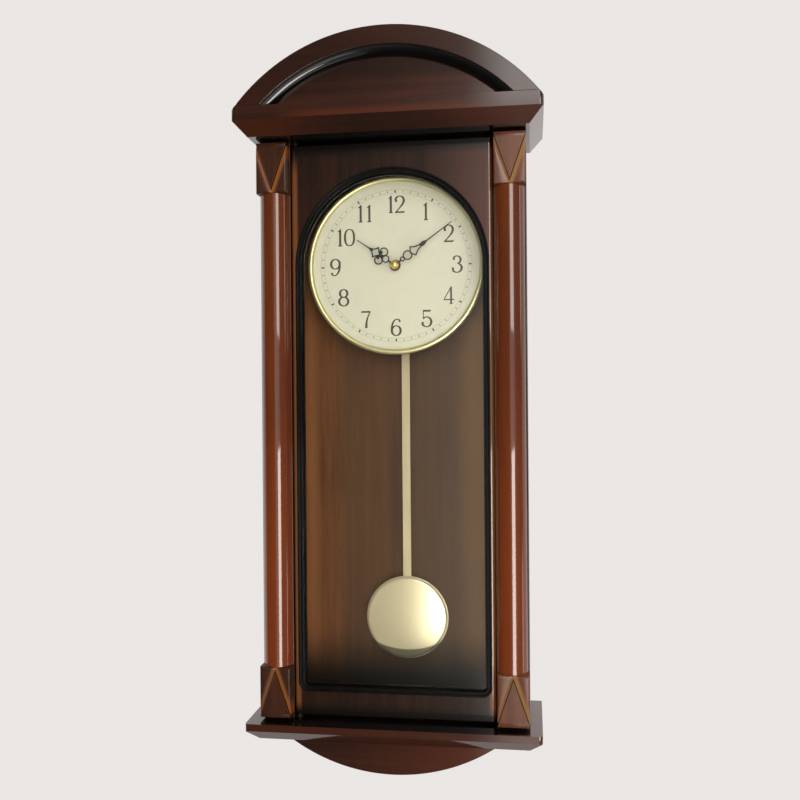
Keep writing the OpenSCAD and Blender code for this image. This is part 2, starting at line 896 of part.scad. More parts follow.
module minute_wheel() {
    hole_r = 1.5;
    color(pale_brass) translate([gear_d, 0, dial_z]) difference() {
        union() {
            front_outline(gear_y, gear_y + gear_t) gear(minute_wheel_n, 180 / minute_wheel_n);
            front_outline(-33.2, gear_y) gear(minute_pinion_n, 180 / minute_pinion_n);
        }
        rod_y_axis(0, 0, -40, -20, stud_r + run_gap);
        for (i = [0:4]) rotate([0, i * 72, 0]) rod_y_axis(4.4, 0, -40, -20, hole_r);
    }
}

// Knob on the rear of the movement, geared to the minute wheel
module setting_knob() {
    knob_r = 6;
    flutes = 18;
    color(plastic) {
        rod_y_axis(2 * gear_d, dial_z, -30.6, cannon_y, stud_r);
        cannon_gear(2 * gear_d);
        rod_y_axis(2 * gear_d, dial_z, cannon_y + cannon_t, -13.5, spindle_r);
        translate([2 * gear_d, 0, dial_z]) front_outline(-13.5, -8.5) difference() {
            circle(knob_r);
            for (i = [0:flutes - 1]) rotate(i * 360 / flutes) translate([knob_r + 0.3, 0]) circle(0.7, $fn = 24);
        }
    }
}

module chime_switch() {
    color([0.75, 0.75, 0.72]) {
        block(switch_x, [-17.2, -12.7], [switch_z - 1.9, switch_z + 1.9]);
        block([switch_x[0] - 2, switch_x[1] + 2], [-18.5, -17.2], [switch_z - 3.5, switch_z + 3.5]);
    }
}

// Hands, drawn pointing up with their centre at the origin

hand_line = 1.1;

function arc_points(c, r, a0, a1, n) =
    [for (i = [0:n], a = a0 + (a1 - a0) * i / n) c + r * [cos(a), sin(a)]];

function along(points, i) = (points[i + 1] - points[i]) / norm(points[i + 1] - points[i]);

// Point i moved sideways by h, so that the stroke's edge stays sharp at its corners
function beside(points, i, h) =
    let (
        a = along(points, max(i - 1, 0)),
        b = along(points, min(i, len(points) - 2)),
        t = (a + b) / norm(a + b)
    )
    points[i] + [-t[1], t[0]] * h / (t[0] * a[0] + t[1] * a[1]);

// Line of even width through the given points and its mirror image
module paired_stroke(points) {
    last = len(points) - 1;
    for (s = [0, 1]) mirror([s, 0]) polygon(concat(
        [for (i = [0:last]) beside(points, i, hand_line / 2)],
        [for (i = [last:-1:0]) beside(points, i, -hand_line / 2)]
    ));
}

module stem(z0, z1) {
    translate([-0.8, z0]) square([1.6, z1 - z0]);
}

module hand_tip(z0, z1) {
    polygon([[-0.6, z0], [0.6, z0], [0.35, z1], [-0.35, z1]]);
}

// Eye, ring, open bell, knot and a long point
module minute_hand_outline() {
    $fn = 40;
    bell_foot = 20.9;
    bell_top = 30;
    side = [for (t = [1:-0.25:0]) [1 + 3.6 * t * t, bell_top + (bell_foot - bell_top) * t]];
    circle(4.4, $fn = 96);
    stem(3.6, 7.3);
    translate([0, 8.9]) ring(1.8, hand_line);
    translate([0, 14.7]) ring(3.9, hand_line);
    paired_stroke(concat([[-0.5, 17.7]], side));
    polygon([[-1.3, 28.7], [1.3, 28.7], [2.1, 32.6], [0.6, 36.5], [-0.6, 36.5], [-2.1, 32.6]]);
    hand_tip(36, minute_hand_l);
}

// Drop, trefoil, barbed head and a long point
module hour_hand_outline() {
    $fn = 40;
    circle(5.1, $fn = 96);
    head = concat([[5, 22.2]], arc_points([8.2, 29.8], 8.2, 238, 190, 4));
    stem(4.2, 7.8);
    translate([0, 10.6]) ring(3, hand_line);
    for (s = [-1, 1]) translate([s * 4.6, 15.6]) {
        ring(3.5, hand_line);
        translate([-s * 1.6, 1.6]) circle(1.2);
    }
    stem(13.3, 18);
    paired_stroke(concat([[-0.5, 17.1]], head));
    polygon([[0, 24.4], [1.4, 26.6], [0.75, 29], [-0.75, 29], [-1.4, 26.6]]);
    hand_tip(28.5, hour_hand_l);
}

module hand(y, turn, bore_r) {
    color(black) translate([0, 0, dial_z]) rotate([0, turn, 0]) front_outline(y, y + hand_t) difference() {
        offset(delta = 0.01) children();
        circle(bore_r);
    }
}

module minute_hand() { hand(minute_hand_y, minute_deg, thread_r) minute_hand_outline(); }

module hour_hand() { hand(hour_hand_y, hour_deg, pipe_r) hour_hand_outline(); }

// Domed brass nut on the end of the arbor
module hand_nut() {
    nut_r = 4;
    nut_h = 2.2;
    dome_h = 3;
    dome_r = (nut_r * nut_r + dome_h * dome_h) / (2 * dome_h);
    front = -minute_hand_y;
    color(gold) turned(0, dial_z) difference() {
        union() {
            square_at(0, front, nut_r, nut_h);
            intersection() {
                translate([0, front + nut_h + dome_h - dome_r]) circle(dome_r);
                square_at(0, front + nut_h, nut_r, dome_h);
            }
        }
        square_at(0, front - 1, thread_r, 1 + thread_out);
    }
}

module square_at(x, y, w, h) {
    translate([x, y]) square([w, h]);
}

// Pendulum

// Plastic arm that swings on the pin, with the drive magnet and the peg that carries the rod
module pendulum_arm() {
    hw = 4;
    color(plastic) difference() {
        union() {
            rod_y_axis(pendulum_x, pivot_z, -14.2, -9.9, 4.2);
            block([pendulum_x - hw, pendulum_x + hw], [-13.4, rod_y], [pivot_z - arm_l, pivot_z]);
            rod_y_axis(pendulum_x, magnet_z, -14.3, -13.4, 3.8);
            rod_y_axis(pendulum_x, peg_z, rod_y, -9.4, peg_r);
        }
        rod_y_axis(pendulum_x, pivot_z, -20, -5, pin_r + run_gap);
    }
}

module pendulum_rod() {
    color(pale_brass) difference() {
        block([pendulum_x - rod_w / 2, pendulum_x + rod_w / 2], [rod_y, rod_y + rod_t], [bob_z - 12, peg_z + 3.4]);
        rod_y_axis(pendulum_x, peg_z, -20, -5, peg_r);
    }
}

// Half section of the bob's dome: a wall, a round edge and a shallow cap that runs on from it
module dome_section(inset) {
    edge = 3.2;
    slope = 8.2;
    low = -rod_y;
    edge_x = bob_r - bob_rim_r - edge;
    edge_h = low + 0.8;
    to_edge = edge_x / sin(slope);
    centre_h = edge_h - to_edge * cos(slope);
    square_at(0, low, edge_x + edge - inset, edge_h - low);
    translate([edge_x, edge_h]) circle(edge - inset);
    intersection() {
        translate([0, centre_h]) circle(to_edge + edge - inset, $fn = 360);
        translate([0, centre_h]) polygon([[0, 0], [0, 2 * to_edge], 2 * to_edge * [tan(slope), 1]]);
        square_at(0, low, bob_r, 20);
    }
}

// Pressed brass dome with a rolled rim
module bob_shell() {
    skin = 0.8;
    color(pale_brass) turned(pendulum_x, bob_z) {
        difference() {
            dome_section(0);
            dome_section(skin);
            square_at(-1, -rod_y - 5, bob_r + 1, 5);
        }
        translate([bob_r - bob_rim_r, -rod_y + bob_rim_r]) circle(bob_rim_r, $fn = 32);
    }
}

module bob_back() {
    color(pale_brass) rod_y_axis(pendulum_x, bob_z, rod_y + rod_t, rod_y + 2 * rod_t, bob_r - 2);
}

hood_board();
hood_arch();
hood_moulding();
tympanum();
hood_top();
hood_back();
side_left();
side_right();
stile_left();
stile_right();
base_board();
apron();
back_panel();
hanging_rail();
hanger_plate();
case_screws();
column_left();
column_right();
capital_left();
capital_right();
plinth_left();
plinth_right();
catch_body();
pivot_bushes();
door_frame();
window_bead();
glass_pane();
glass_stop();
pivot_pins();
strike_plate();
dial_posts();
dial_board();
dial_plate();
bezel();
movement_case();
movement_cover();
centre_bush();
fixing_nut();
train_module();
stepper_coil();
circuit_board();
cell_left();
cell_right();
cell_contacts();
speaker();
drive_coil();
pendulum_pin();
minute_arbor();
minute_hand();
hand_nut();
hour_wheel();
hour_hand();
minute_wheel();
setting_knob();
chime_switch();
pendulum_arm();
pendulum_rod();
bob_shell();
bob_back();
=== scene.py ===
"""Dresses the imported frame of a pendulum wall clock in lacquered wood, glass, brass and print.

Lengths are in metres in the row frame: X to the viewer's right, Y into the wall, Z up, with the
origin at the hanger hole on the wall plane. Drawings on the dial are in millimetres from its
centre.
"""

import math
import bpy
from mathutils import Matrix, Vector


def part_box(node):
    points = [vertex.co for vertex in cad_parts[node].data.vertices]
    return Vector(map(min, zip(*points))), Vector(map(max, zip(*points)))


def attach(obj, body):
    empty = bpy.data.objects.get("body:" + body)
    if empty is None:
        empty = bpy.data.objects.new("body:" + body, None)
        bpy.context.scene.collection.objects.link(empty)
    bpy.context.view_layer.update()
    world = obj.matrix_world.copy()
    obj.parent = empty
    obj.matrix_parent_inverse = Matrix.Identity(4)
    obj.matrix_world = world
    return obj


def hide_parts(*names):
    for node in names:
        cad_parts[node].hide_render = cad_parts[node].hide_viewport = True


bl_info = {
    "name": "Pendulum Wall Clock Looks",
    "version": (1, 0, 0),
    "blender": (4, 5, 0),
    "location": "View3D > Sidebar > Wall Clock",
    "description": "Finishes for the case, dial, hands, movement and pendulum of a wall clock",
    "category": "Object",
}

import bmesh
import bpy
from bpy.props import FloatProperty, FloatVectorProperty, PointerProperty
from mathutils import Matrix, Vector
from mathutils.geometry import delaunay_2d_cdt

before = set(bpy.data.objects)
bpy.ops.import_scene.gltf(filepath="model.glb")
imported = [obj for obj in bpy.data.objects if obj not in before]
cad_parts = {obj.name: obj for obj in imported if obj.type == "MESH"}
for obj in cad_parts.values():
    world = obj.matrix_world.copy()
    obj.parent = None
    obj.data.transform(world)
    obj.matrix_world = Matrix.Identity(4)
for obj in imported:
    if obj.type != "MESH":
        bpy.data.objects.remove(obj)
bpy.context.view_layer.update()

MM = 0.001
DIAL_LOW, DIAL_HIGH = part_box("dial_plate")
DIAL_CENTRE_Z = (DIAL_LOW.z + DIAL_HIGH.z) / 2

# The three axes, as indices of a vector
ACROSS, INWARD, UP = 0, 1, 2

# Layers that a carved block's mesh keeps for its material, in metres
FROM_LINE, OFF_MIDDLE = "from_line", "off_middle"


# ---------------------------------------------------------------- shader nodes


def add(tree, kind, inputs=None, **settings):
    """One shader node, with its settings, and its inputs linked or set."""
    node = tree.nodes.new(kind)
    for key, value in settings.items():
        setattr(node, key, value)
    for key, value in (inputs or {}).items():
        if isinstance(value, bpy.types.NodeSocket):
            tree.links.new(value, node.inputs[key])
        else:
            node.inputs[key].default_value = value
    return node


def maths(tree, operation, a, b=0.0):
    return add(tree, "ShaderNodeMath", {0: a, 1: b}, operation=operation).outputs[0]


def product(tree, first, *others):
    for other in others:
        first = maths(tree, "MULTIPLY", first, other)
    return first


def remap(tree, value, low, high, to_low=0.0, to_high=1.0):
    """A smooth step from one number at low to another at high, where low may be the larger."""
    return add(
        tree,
        "ShaderNodeMapRange",
        {"Value": value, "From Min": low, "From Max": high, "To Min": to_low, "To Max": to_high},
        interpolation_type="SMOOTHSTEP",
    ).outputs["Result"]


def band(tree, value, out_low, in_low, in_high, out_high):
    """1 within the inner pair and 0 outside the outer pair."""
    return product(tree, remap(tree, value, out_low, in_low), remap(tree, value, out_high, in_high))


def opaque(colour):
    return (*colour, 1.0)


def shade(colour, factor):
    return [c * factor for c in colour]


def blend(tree, factor, a, b):
    """One colour over another, each a socket or three numbers."""
    a, b = (c if isinstance(c, bpy.types.NodeSocket) else opaque(c) for c in (a, b))
    # A Mix node holds its colour inputs and its colour output after those of its other types
    return add(tree, "ShaderNodeMix", {0: factor, 6: a, 7: b}, data_type="RGBA").outputs[2]


def mix_shaders(tree, factor, a, b):
    return add(tree, "ShaderNodeMixShader", {0: factor, 1: a, 2: b}).outputs[0]


def spot(tree, axis=None):
    """The surface's place in the object's own metres, or one of its three numbers."""
    place = add(tree, "ShaderNodeTexCoord").outputs["Object"]
    if axis is None:
        return place
    return add(tree, "ShaderNodeSeparateXYZ", {0: place}).outputs[axis]


def kept(tree, layer):
    """A number that the mesh keeps for each of its points."""
    return add(tree, "ShaderNodeAttribute", attribute_name=layer).outputs["Fac"]


def cells(count, along=None, count_along=None):
    """Noise cells per metre on the three axes, with another count along one of them."""
    counts = [count] * 3
    if along is not None:
        counts[along] = count_along
    return counts


def noise(tree, counts, detail, distortion=0.0):
    placed = add(tree, "ShaderNodeMapping", {"Vector": spot(tree), "Scale": counts})
    return add(
        tree,
        "ShaderNodeTexNoise",
        {
            "Vector": placed.outputs["Vector"],
            "Scale": 1.0,
            "Detail": detail,
            "Roughness": 0.55,
            "Distortion": distortion,
        },
    ).outputs["Fac"]


# ---------------------------------------------------------------- masks

# A mask adds nodes to a material's tree and returns the share, from 0 to 1, to which it holds.


def past(axis, start, end):
    """0 until start and 1 from end along an axis, where start may be the larger."""
    return lambda tree: remap(tree, spot(tree, axis), start, end)


def from_middle(start, end):
    """As past, out from the clock's middle to either side."""
    return lambda tree: remap(tree, maths(tree, "ABSOLUTE", spot(tree, ACROSS)), start, end)


def between(axis, *edges):
    """1 within a band along an axis, given as its four edges."""
    return lambda tree: band(tree, spot(tree, axis), *edges)


def beyond(point, start, end):
    """0 until the distance from a point reaches start, and 1 from end."""

    def build(tree):
        away = add(tree, "ShaderNodeVectorMath", {0: spot(tree), 1: point}, operation="DISTANCE")
        return remap(tree, away.outputs["Value"], start, end)

    return build


def facing(axis, start, end):
    """0 until the surface's normal reaches start along an axis, and 1 from end."""

    def build(tree):
        normal = add(tree, "ShaderNodeNewGeometry").outputs["Normal"]
        along = add(tree, "ShaderNodeSeparateXYZ", {0: normal}).outputs[axis]
        return remap(tree, along, start, end)

    return build


def on_edges(radius, gain):
    """1 on edges and 0 on flats: how far a rounded normal turns away from the true one."""

    def build(tree):
        rounded = add(tree, "ShaderNodeBevel", {"Radius": radius}, samples=6).outputs["Normal"]
        true = add(tree, "ShaderNodeNewGeometry").outputs["Normal"]
        same = add(tree, "ShaderNodeVectorMath", {0: rounded, 1: true}, operation="DOT_PRODUCT")
        turned = maths(tree, "SUBTRACT", 1.0, same.outputs["Value"])
        return add(tree, "ShaderNodeClamp", {"Value": product(tree, turned, gain)}).outputs[0]

    return build


def beside_line(*edges):
    """1 within a band of distance from a carved block's V, given as its four edges."""
    return lambda tree: band(tree, kept(tree, FROM_LINE), *edges)


def right_of_block(tree):
    """0 on a carved block's left half and 1 on its right half."""
    return remap(tree, kept(tree, OFF_MIDDLE), -0.5 * MM, 0.5 * MM)


def where(*masks, strength=1.0):
    """The share to which every mask holds."""
    return lambda tree: product(tree, strength, *(mask(tree) for mask in masks))


# ---------------------------------------------------------------- finishes


def material(name, **principled):
    """A new material and its tree and Principled shader, with sockets set by name."""
    made = bpy.data.materials.new(name)
    made.use_nodes = True
    shader = made.node_tree.nodes["Principled BSDF"]
    for key, value in principled.items():
        shader.inputs[key.replace("_", " ")].default_value = value
    return made, made.node_tree, shader


def surface(tree, shader_output):
    tree.links.new(shader_output, tree.nodes["Material Output"].inputs["Surface"])


def mottled(tree, grain, colour, darkest):
    """A colour that falls to a share of itself in the hollows of a noise."""
    return blend(tree, remap(tree, grain, 0.3, 0.7), shade(colour, darkest), colour)


def paint(tree, shader, colour, touches=()):
    """Gives the shader its colour. Each touch is a mask and the colour that it lays over."""
    for mask, stain in touches:
        colour = blend(tree, mask(tree), colour, stain)
    tree.links.new(colour, shader.inputs["Base Color"])


def bump(tree, shader, height, strength, distance):
    inputs = {"Height": height, "Strength": strength, "Distance": distance}
    normal = add(tree, "ShaderNodeBump", inputs).outputs["Normal"]
    tree.links.new(normal, shader.inputs["Normal"])


def lacquered_wood(
    name, dark, light, along, streaks=70.0, fine=1.0, coat=1.0, sheen=0.05, touches=()
):
    """Stained wood under clear lacquer, with long streaks, soft clouds and fine pores.

    The grain runs along an axis. There are so many streaks to the metre across it, fine scales
    the number of pores, coat is the lacquer's share and sheen its roughness.
    """
    made, tree, shader = material(
        name,
        Roughness=0.5,
        Specular_IOR_Level=0.05,
        Coat_Weight=coat,
        Coat_Roughness=sheen,
        Coat_IOR=1.6,
    )
    streak = noise(tree, cells(streaks, along, streaks / 25), detail=6.0, distortion=0.5)
    cloud = noise(tree, cells(12.0, along, 4.0), detail=2.0)
    pores = noise(tree, cells(1400.0 * fine, along, 80.0), detail=3.0)
    figure = maths(tree, "ADD", product(tree, streak, 0.55), product(tree, cloud, 0.45))
    colour = blend(tree, remap(tree, figure, 0.34, 0.66), dark, light)
    filled = remap(tree, pores, 0.30, 0.48, 0.30, 0.0)
    paint(tree, shader, blend(tree, filled, colour, shade(dark, 0.5)), touches)
    bump(tree, shader, pores, 0.10, 0.12 * MM)
    return made


def metal(name, colour, roughness, brushed=0.0, along=None, haze=0.0, touches=()):
    """Bright metal, brushed along an axis where asked, or hazed by a share of plain lacquer."""
    made, tree, shader = material(name, Metallic=1.0 - haze, Roughness=roughness)
    grain = noise(tree, cells(900.0, along, 20.0), detail=3.0)
    paint(tree, shader, mottled(tree, grain, colour, 0.93), touches)
    if brushed:
        bump(tree, shader, grain, brushed, 0.02 * MM)
    return made


def moulded_plastic(name, colour, roughness, grain):
    """Plastic or enamel with a fine grain of the given strength."""
    made, tree, shader = material(name, Roughness=roughness, IOR=1.5)
    cloud = noise(tree, cells(60.0), detail=2.0)
    paint(tree, shader, mottled(tree, cloud, colour, 0.88))
    bump(tree, shader, noise(tree, cells(2600.0), detail=2.0), grain, 0.05 * MM)
    return made


def dial_paint(colour):
    """Matt paint on sheet metal."""
    made, tree, shader = material("dial_paint", Roughness=0.55, IOR=1.45)
    cloud = noise(tree, cells(120.0), detail=3.0)
    paint(tree, shader, mottled(tree, cloud, colour, 0.965))
    bump(tree, shader, noise(tree, cells(3000.0), detail=4.0), 0.05, 0.02 * MM)
    return made


def clear_glass():
    """Clear sheet that lets the lamps' light through to the dial and the pendulum."""
    made, tree, shader = material(
        "door_glass",
        Roughness=0.0,
        IOR=1.45,
        Transmission_Weight=1.0,
        Base_Color=opaque((0.97, 0.985, 0.975)),
    )
    through = add(tree, "ShaderNodeBsdfTransparent", {"Color": opaque((0.95, 0.96, 0.95))})
    shadow = add(tree, "ShaderNodeLightPath").outputs["Is Shadow Ray"]
    surface(tree, mix_shaders(tree, shadow, shader.outputs[0], through.outputs[0]))
    return made


# ---------------------------------------------------------------- pieces


def dress(node_name, finish, rounding=0.0, segments=2):
    """Gives a CAD node its material and, where asked, softly rounded edges."""
    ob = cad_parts[node_name]
    ob.data.materials.clear()
    ob.data.materials.append(finish)
    if rounding:
        weld = ob.modifiers.new("weld", "WELD")
        weld.merge_threshold = 0.002 * MM
        bevel = ob.modifiers.new("rounded_edges", "BEVEL")
        bevel.width = rounding
        bevel.segments = segments
        bevel.limit_method = "ANGLE"
        bevel.angle_limit = math.radians(32)
        bevel.harden_normals = True


def place_mesh(name, bm, finish):
    """Closes a bmesh into a new object of the scene."""
    bmesh.ops.recalc_face_normals(bm, faces=bm.faces)
    mesh = bpy.data.meshes.new(name)
    bm.to_mesh(mesh)
    bm.free()
    mesh.materials.append(finish)
    ob = bpy.data.objects.new(name, mesh)
    bpy.context.scene.collection.objects.link(ob)
    return ob


def print_on_dial(name, shapes, ink, height):
    """Unites flat shapes, given as (x, z) in millimetres, into one thin solid on the dial."""
    points, faces = [], []
    for shape in shapes:
        faces.append(list(range(len(points), len(points) + len(shape))))
        points.extend(Vector(p) for p in shape)
    # 1 asks for the triangles inside the shapes, and 1e-4 mm joins points that nearly meet
    flat, _, triangles, _, _, sources = delaunay_2d_cdt(points, [], faces, 1, 1e-4)
    bm = bmesh.new()
    front, back = (
        [bm.verts.new((p.x * MM, y, DIAL_CENTRE_Z + p.y * MM)) for p in flat]
        for y in (DIAL_LOW.y - height, DIAL_LOW.y)
    )
    for triangle, source in zip(triangles, sources):
        if source:
            bm.faces.new([front[i] for i in triangle])
            bm.faces.new([back[i] for i in reversed(triangle)])
    order = {vert: i for i, vert in enumerate(front)}
    rim = [e.verts for e in bm.edges if e.is_boundary and all(v in order for v in e.verts)]
    for a, b in rim:
        bm.faces.new([a, b, back[order[b]], back[order[a]]])
    bmesh.ops.delete(bm, geom=[v for v in bm.verts if not v.link_faces], context="VERTS")
    ob = place_mesh(name, bm, ink)
    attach(ob, "case")


def block_grid(half, height):
    """The points of a carved block's face, as rows of (across, down, sunk, from the V's line).

    A flat V is left standing, with a steep cut beside its lines, a slope from the cut's foot up
    to each flank, and shoulders. Across is from the block's middle, and down is from the end to
    which the V points.
    """
    tip = 5.0 * MM  # from the end to the V's point
    cut_out, cut = 0.45 * MM, 1.5 * MM  # how far out and how deep the cut's foot lies
    slope_out, flank = 3.4 * MM, 0.35 * MM  # the same for the slope's upper edge
    side_r, side_steps = 1.6 * MM, 5
    end_r, end_steps = 2.5 * MM, 6
    rows = 24
    spread = half / (height - tip)
    lean = 1 / math.hypot(1, spread)

    def from_line(x, down):
        return (abs(x) - (down - tip) * spread) * lean

    def shoulder(inside, r):
        return r - math.sqrt(r * r - (r - inside) ** 2) if inside < r else 0.0

    def sunk(x, down):
        out = from_line(x, down)
        if out <= 0:
            carved = 0.0
        elif out < cut_out:
            carved = cut * out / cut_out
        else:
            up_slope = min((out - cut_out) / (slope_out - cut_out), 1.0)
            carved = flank + (cut - flank) * (1 - up_slope) ** 1.6
        return carved + max(shoulder(half - abs(x), side_r), shoulder(down, end_r))

    outs = (-0.4 * MM, 0.0, cut_out, 0.8 * MM, 1.4 * MM, 2.2 * MM, slope_out)
    lines = [out / lean for out in outs]
    downs = {k * end_r / end_steps for k in range(end_steps + 1)}
    downs |= {k * height / rows for k in range(3, rows + 1)}
    downs |= {start - line / spread for start in (tip, height) for line in lines}
    grid = []
    for down in sorted(d for d in downs if 0 <= d <= height):
        right = [min(max((down - tip) * spread + line, 0.0), half) for line in lines]
        edge = [half - side_r * (1 - k / side_steps) for k in range(side_steps + 1)]
        right += [max(right[-1], x) for x in edge]
        across = [-x for x in reversed(right)] + [0.0] + right
        grid.append([(x, down, sunk(x, down), from_line(x, down)) for x in across])
    return grid


def carve_block(node_name, points_up, finish):
    """Puts a carved block in the place of a plain one, with the same outline and the same V."""
    low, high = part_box(node_name)
    bm = bmesh.new()
    from_line = bm.verts.layers.float.new(FROM_LINE)
    off_middle = bm.verts.layers.float.new(OFF_MIDDLE)
    rows = []
    for points in block_grid((high.x - low.x) / 2, high.z - low.z):
        row = []
        for x, down, sunk, distance in points:
            z = high.z - down if points_up else low.z + down
            vert = bm.verts.new(((low.x + high.x) / 2 + x, low.y + sunk, z))
            vert[from_line] = distance
            vert[off_middle] = x
            row.append(vert)
        rows.append(row)
    for row, following in zip(rows, rows[1:]):
        for k in range(len(row) - 1):
            bm.faces.new((row[k], row[k + 1], following[k + 1], following[k]))
    bmesh.ops.remove_doubles(bm, verts=bm.verts, dist=0.004 * MM)
    rim = [e for e in bm.edges if e.is_boundary]
    grown = bmesh.ops.extrude_edge_only(bm, edges=rim)["geom"]
    for vert in (g for g in grown if isinstance(g, bmesh.types.BMVert)):
        vert.co.y = high.y
    bmesh.ops.holes_fill(bm, edges=[e for e in bm.edges if e.is_boundary], sides=0)
    for face in bm.faces:
        face.smooth = True
    ob = place_mesh(node_name + "_carved", bm, finish)
    ob.data.set_sharp_from_angle(angle=math.radians(25))
    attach(ob, "case")
    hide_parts(node_name)


# ---------------------------------------------------------------- dial drawing, in millimetres

FIGURE_HEIGHT = 16.0
THIN_STROKE = 0.95
# Half the way between the middles of a numeral's two figures
FIGURE_SPREAD = {"10": 4.4, "11": 4.1, "12": 4.1}
TEN_INSET = 1.8  # how much nearer to the centre the 10 stands, as it is the widest
HOUR_MARK_RADIUS = 68.6
TRACK_INNER, TRACK_OUTER = 67.0, 70.2


def ribbon(path, widths):
    """Quads along a path, as wide at each point as given."""
    quads, sides = [], []
    for i, p in enumerate(path):
        a, b = path[max(i - 1, 0)], path[min(i + 1, len(path) - 1)]
        run = Vector((b[0] - a[0], b[1] - a[1])).normalized()
        off = Vector((-run.y, run.x)) * widths[i] / 2
        sides.append((Vector(p) + off, Vector(p) - off))
    for (a, b), (c, d) in zip(sides, sides[1:]):
        quads.append([tuple(b), tuple(d), tuple(c), tuple(a)])
    return quads


def oval(x, z, rx, rz, steps, closed=False):
    """Points round an oval, with the first one again at the end where it is closed."""
    turns = [k * math.tau / steps for k in range(steps + closed)]
    return [(x + rx * math.cos(a), z + rz * math.sin(a)) for a in turns]


def disc(x, z, r):
    return oval(x, z, r, r, 14)


def bow(x, z, rx, rz, start, end, thick=2.15, square=1.0, steps=26):
    """Part of an oval stroke, thick at its sides and thin above and below."""
    path, widths = [], []
    for k in range(steps + 1):
        a = math.radians(start + (end - start) * k / steps)
        c, s = math.cos(a), math.sin(a)
        out = math.copysign(abs(c) ** square, c)
        up = math.copysign(abs(s) ** square, s)
        path.append((x + rx * out, z + rz * up))
        widths.append(THIN_STROKE + (thick - THIN_STROKE) * abs(c) ** 1.4)
    return ribbon(path, widths)


def turned_over(shapes):
    return [[(-x, FIGURE_HEIGHT - z) for x, z in shape] for shape in shapes]


def figures():
    """The ten figures as lists of flat shapes that stand on z = 0 and are centred on x = 0."""
    six = [
        *bow(0, 4.9, 4.1, 4.5, 0, 360),
        *bow(1.0, 6.6, 5.1, 8.9, 190, 62, thick=1.9),
        disc(3.2, 13.7, 1.05),
    ]
    return {
        "0": bow(0, 8, 4.25, 7.5, 0, 360, thick=2.0, square=0.82, steps=40),
        "1": [
            [(-1.0, 0.3), (1.0, 0.3), (1.0, 16.2), (0.3, 16.2), (-1.0, 15.0)],
            [(-2.1, 0), (2.1, 0), (1.9, 0.7), (1.0, 1.3), (-1.0, 1.3), (-1.9, 0.7)],
            [(-2.6, 13.6), (-0.9, 13.3), (0.0, 16.2), (-1.0, 15.0)],
        ],
        "2": [
            *bow(0.0, 11.5, 3.9, 4.1, 175, -22, thick=2.1),
            *ribbon([(3.6, 10.0), (2.5, 7.7), (-0.3, 4.4), (-3.6, 0.9)], [2.0, 1.7, 1.2, 1.1]),
            [(-4.7, 0), (4.3, 0), (4.9, 2.6), (4.2, 1.5), (-3.9, 1.5)],
            disc(-3.3, 11.2, 1.15),
        ],
        "3": [
            *bow(-0.2, 12.1, 3.4, 3.4, 155, -80, thick=2.0),
            *bow(-0.2, 4.6, 4.3, 4.1, 85, -160, thick=2.2),
            disc(-3.0, 12.7, 1.05),
            disc(-3.9, 4.1, 1.15),
        ],
        "4": [
            [(0.9, 0), (2.7, 0), (2.7, 16), (1.4, 16), (0.9, 14.6)],
            *ribbon([(1.7, 15.6), (-4.7, 4.3)], [0.9, 0.9]),
            [(-5.2, 3.6), (4.6, 3.6), (4.6, 4.7), (-4.6, 4.7)],
            [(-0.3, 0), (3.9, 0), (2.7, 0.9), (0.9, 0.9)],
        ],
        "5": [
            [(-3.5, 14.2), (3.4, 14.2), (4.1, 16.2), (3.3, 15.9), (-3.5, 15.9)],
            [(-3.6, 8.2), (-2.8, 8.6), (-2.7, 15), (-3.5, 15)],
            *bow(-0.1, 4.9, 4.3, 4.5, 140, -160, thick=2.2),
            disc(-3.7, 3.9, 1.15),
        ],
        "6": six,
        "7": [
            [(-4.4, 13.9), (-3.9, 14.4), (4.4, 14.4), (4.4, 16), (-4.2, 16)],
            *ribbon([(4.0, 15.0), (1.6, 9.8), (0.6, 5.4), (0.3, 0.2)], [1.0, 1.4, 1.9, 2.4]),
        ],
        "8": [*bow(0, 12.0, 3.5, 3.6, 0, 360), *bow(0, 4.5, 4.3, 4.1, 0, 360, thick=2.2)],
        "9": turned_over(six),
    }


def numeral_shapes(ring_r):
    """All twelve numerals upright on the dial, each with its middle on its hour's radius."""
    ten = figures()
    shapes = []
    for hour in range(1, 13):
        word = str(hour)
        r = ring_r - TEN_INSET if word == "10" else ring_r
        angle = math.radians(30 * hour)
        half = FIGURE_SPREAD.get(word, 0.0)
        for off, figure in zip((-half, half) if half else (0.0,), word):
            x, z = r * math.sin(angle) + off, r * math.cos(angle) - FIGURE_HEIGHT / 2
            shapes += [[(x + px, z + pz) for px, pz in shape] for shape in ten[figure]]
    return shapes


def hour_mark_shapes():
    """A small oval for each hour, standing across the minute track."""
    shapes = []
    for hour in range(12):
        angle = math.radians(30 * hour)
        s, c = math.sin(angle), math.cos(angle)
        mark = oval(HOUR_MARK_RADIUS, 0, 1.35, 0.75, 16)
        shapes.append([(out * s + side * c, out * c - side * s) for out, side in mark])
    return shapes


def track_shapes():
    """Two hairline circles with a short dash between them for each minute."""
    hairline, dash, gap = 0.2, 0.8, 0.7
    shapes = []
    for r in (TRACK_INNER, TRACK_OUTER):
        path = oval(0, 0, r, r, 144, closed=True)
        shapes += ribbon(path, [hairline] * len(path))
    for minute in (m for m in range(60) if m % 5):
        angle = math.radians(6 * minute)
        s, c = math.sin(angle), math.cos(angle)
        ends = [(r * s, r * c) for r in (TRACK_INNER + gap, TRACK_OUTER - gap)]
        shapes += ribbon(ends, [dash, dash])
    return shapes


# ---------------------------------------------------------------- settings


def tone(name, description, default):
    """A colour, in linear light."""
    return FloatVectorProperty(
        name=name, description=description, default=default, subtype="COLOR", size=3, min=0, max=1
    )


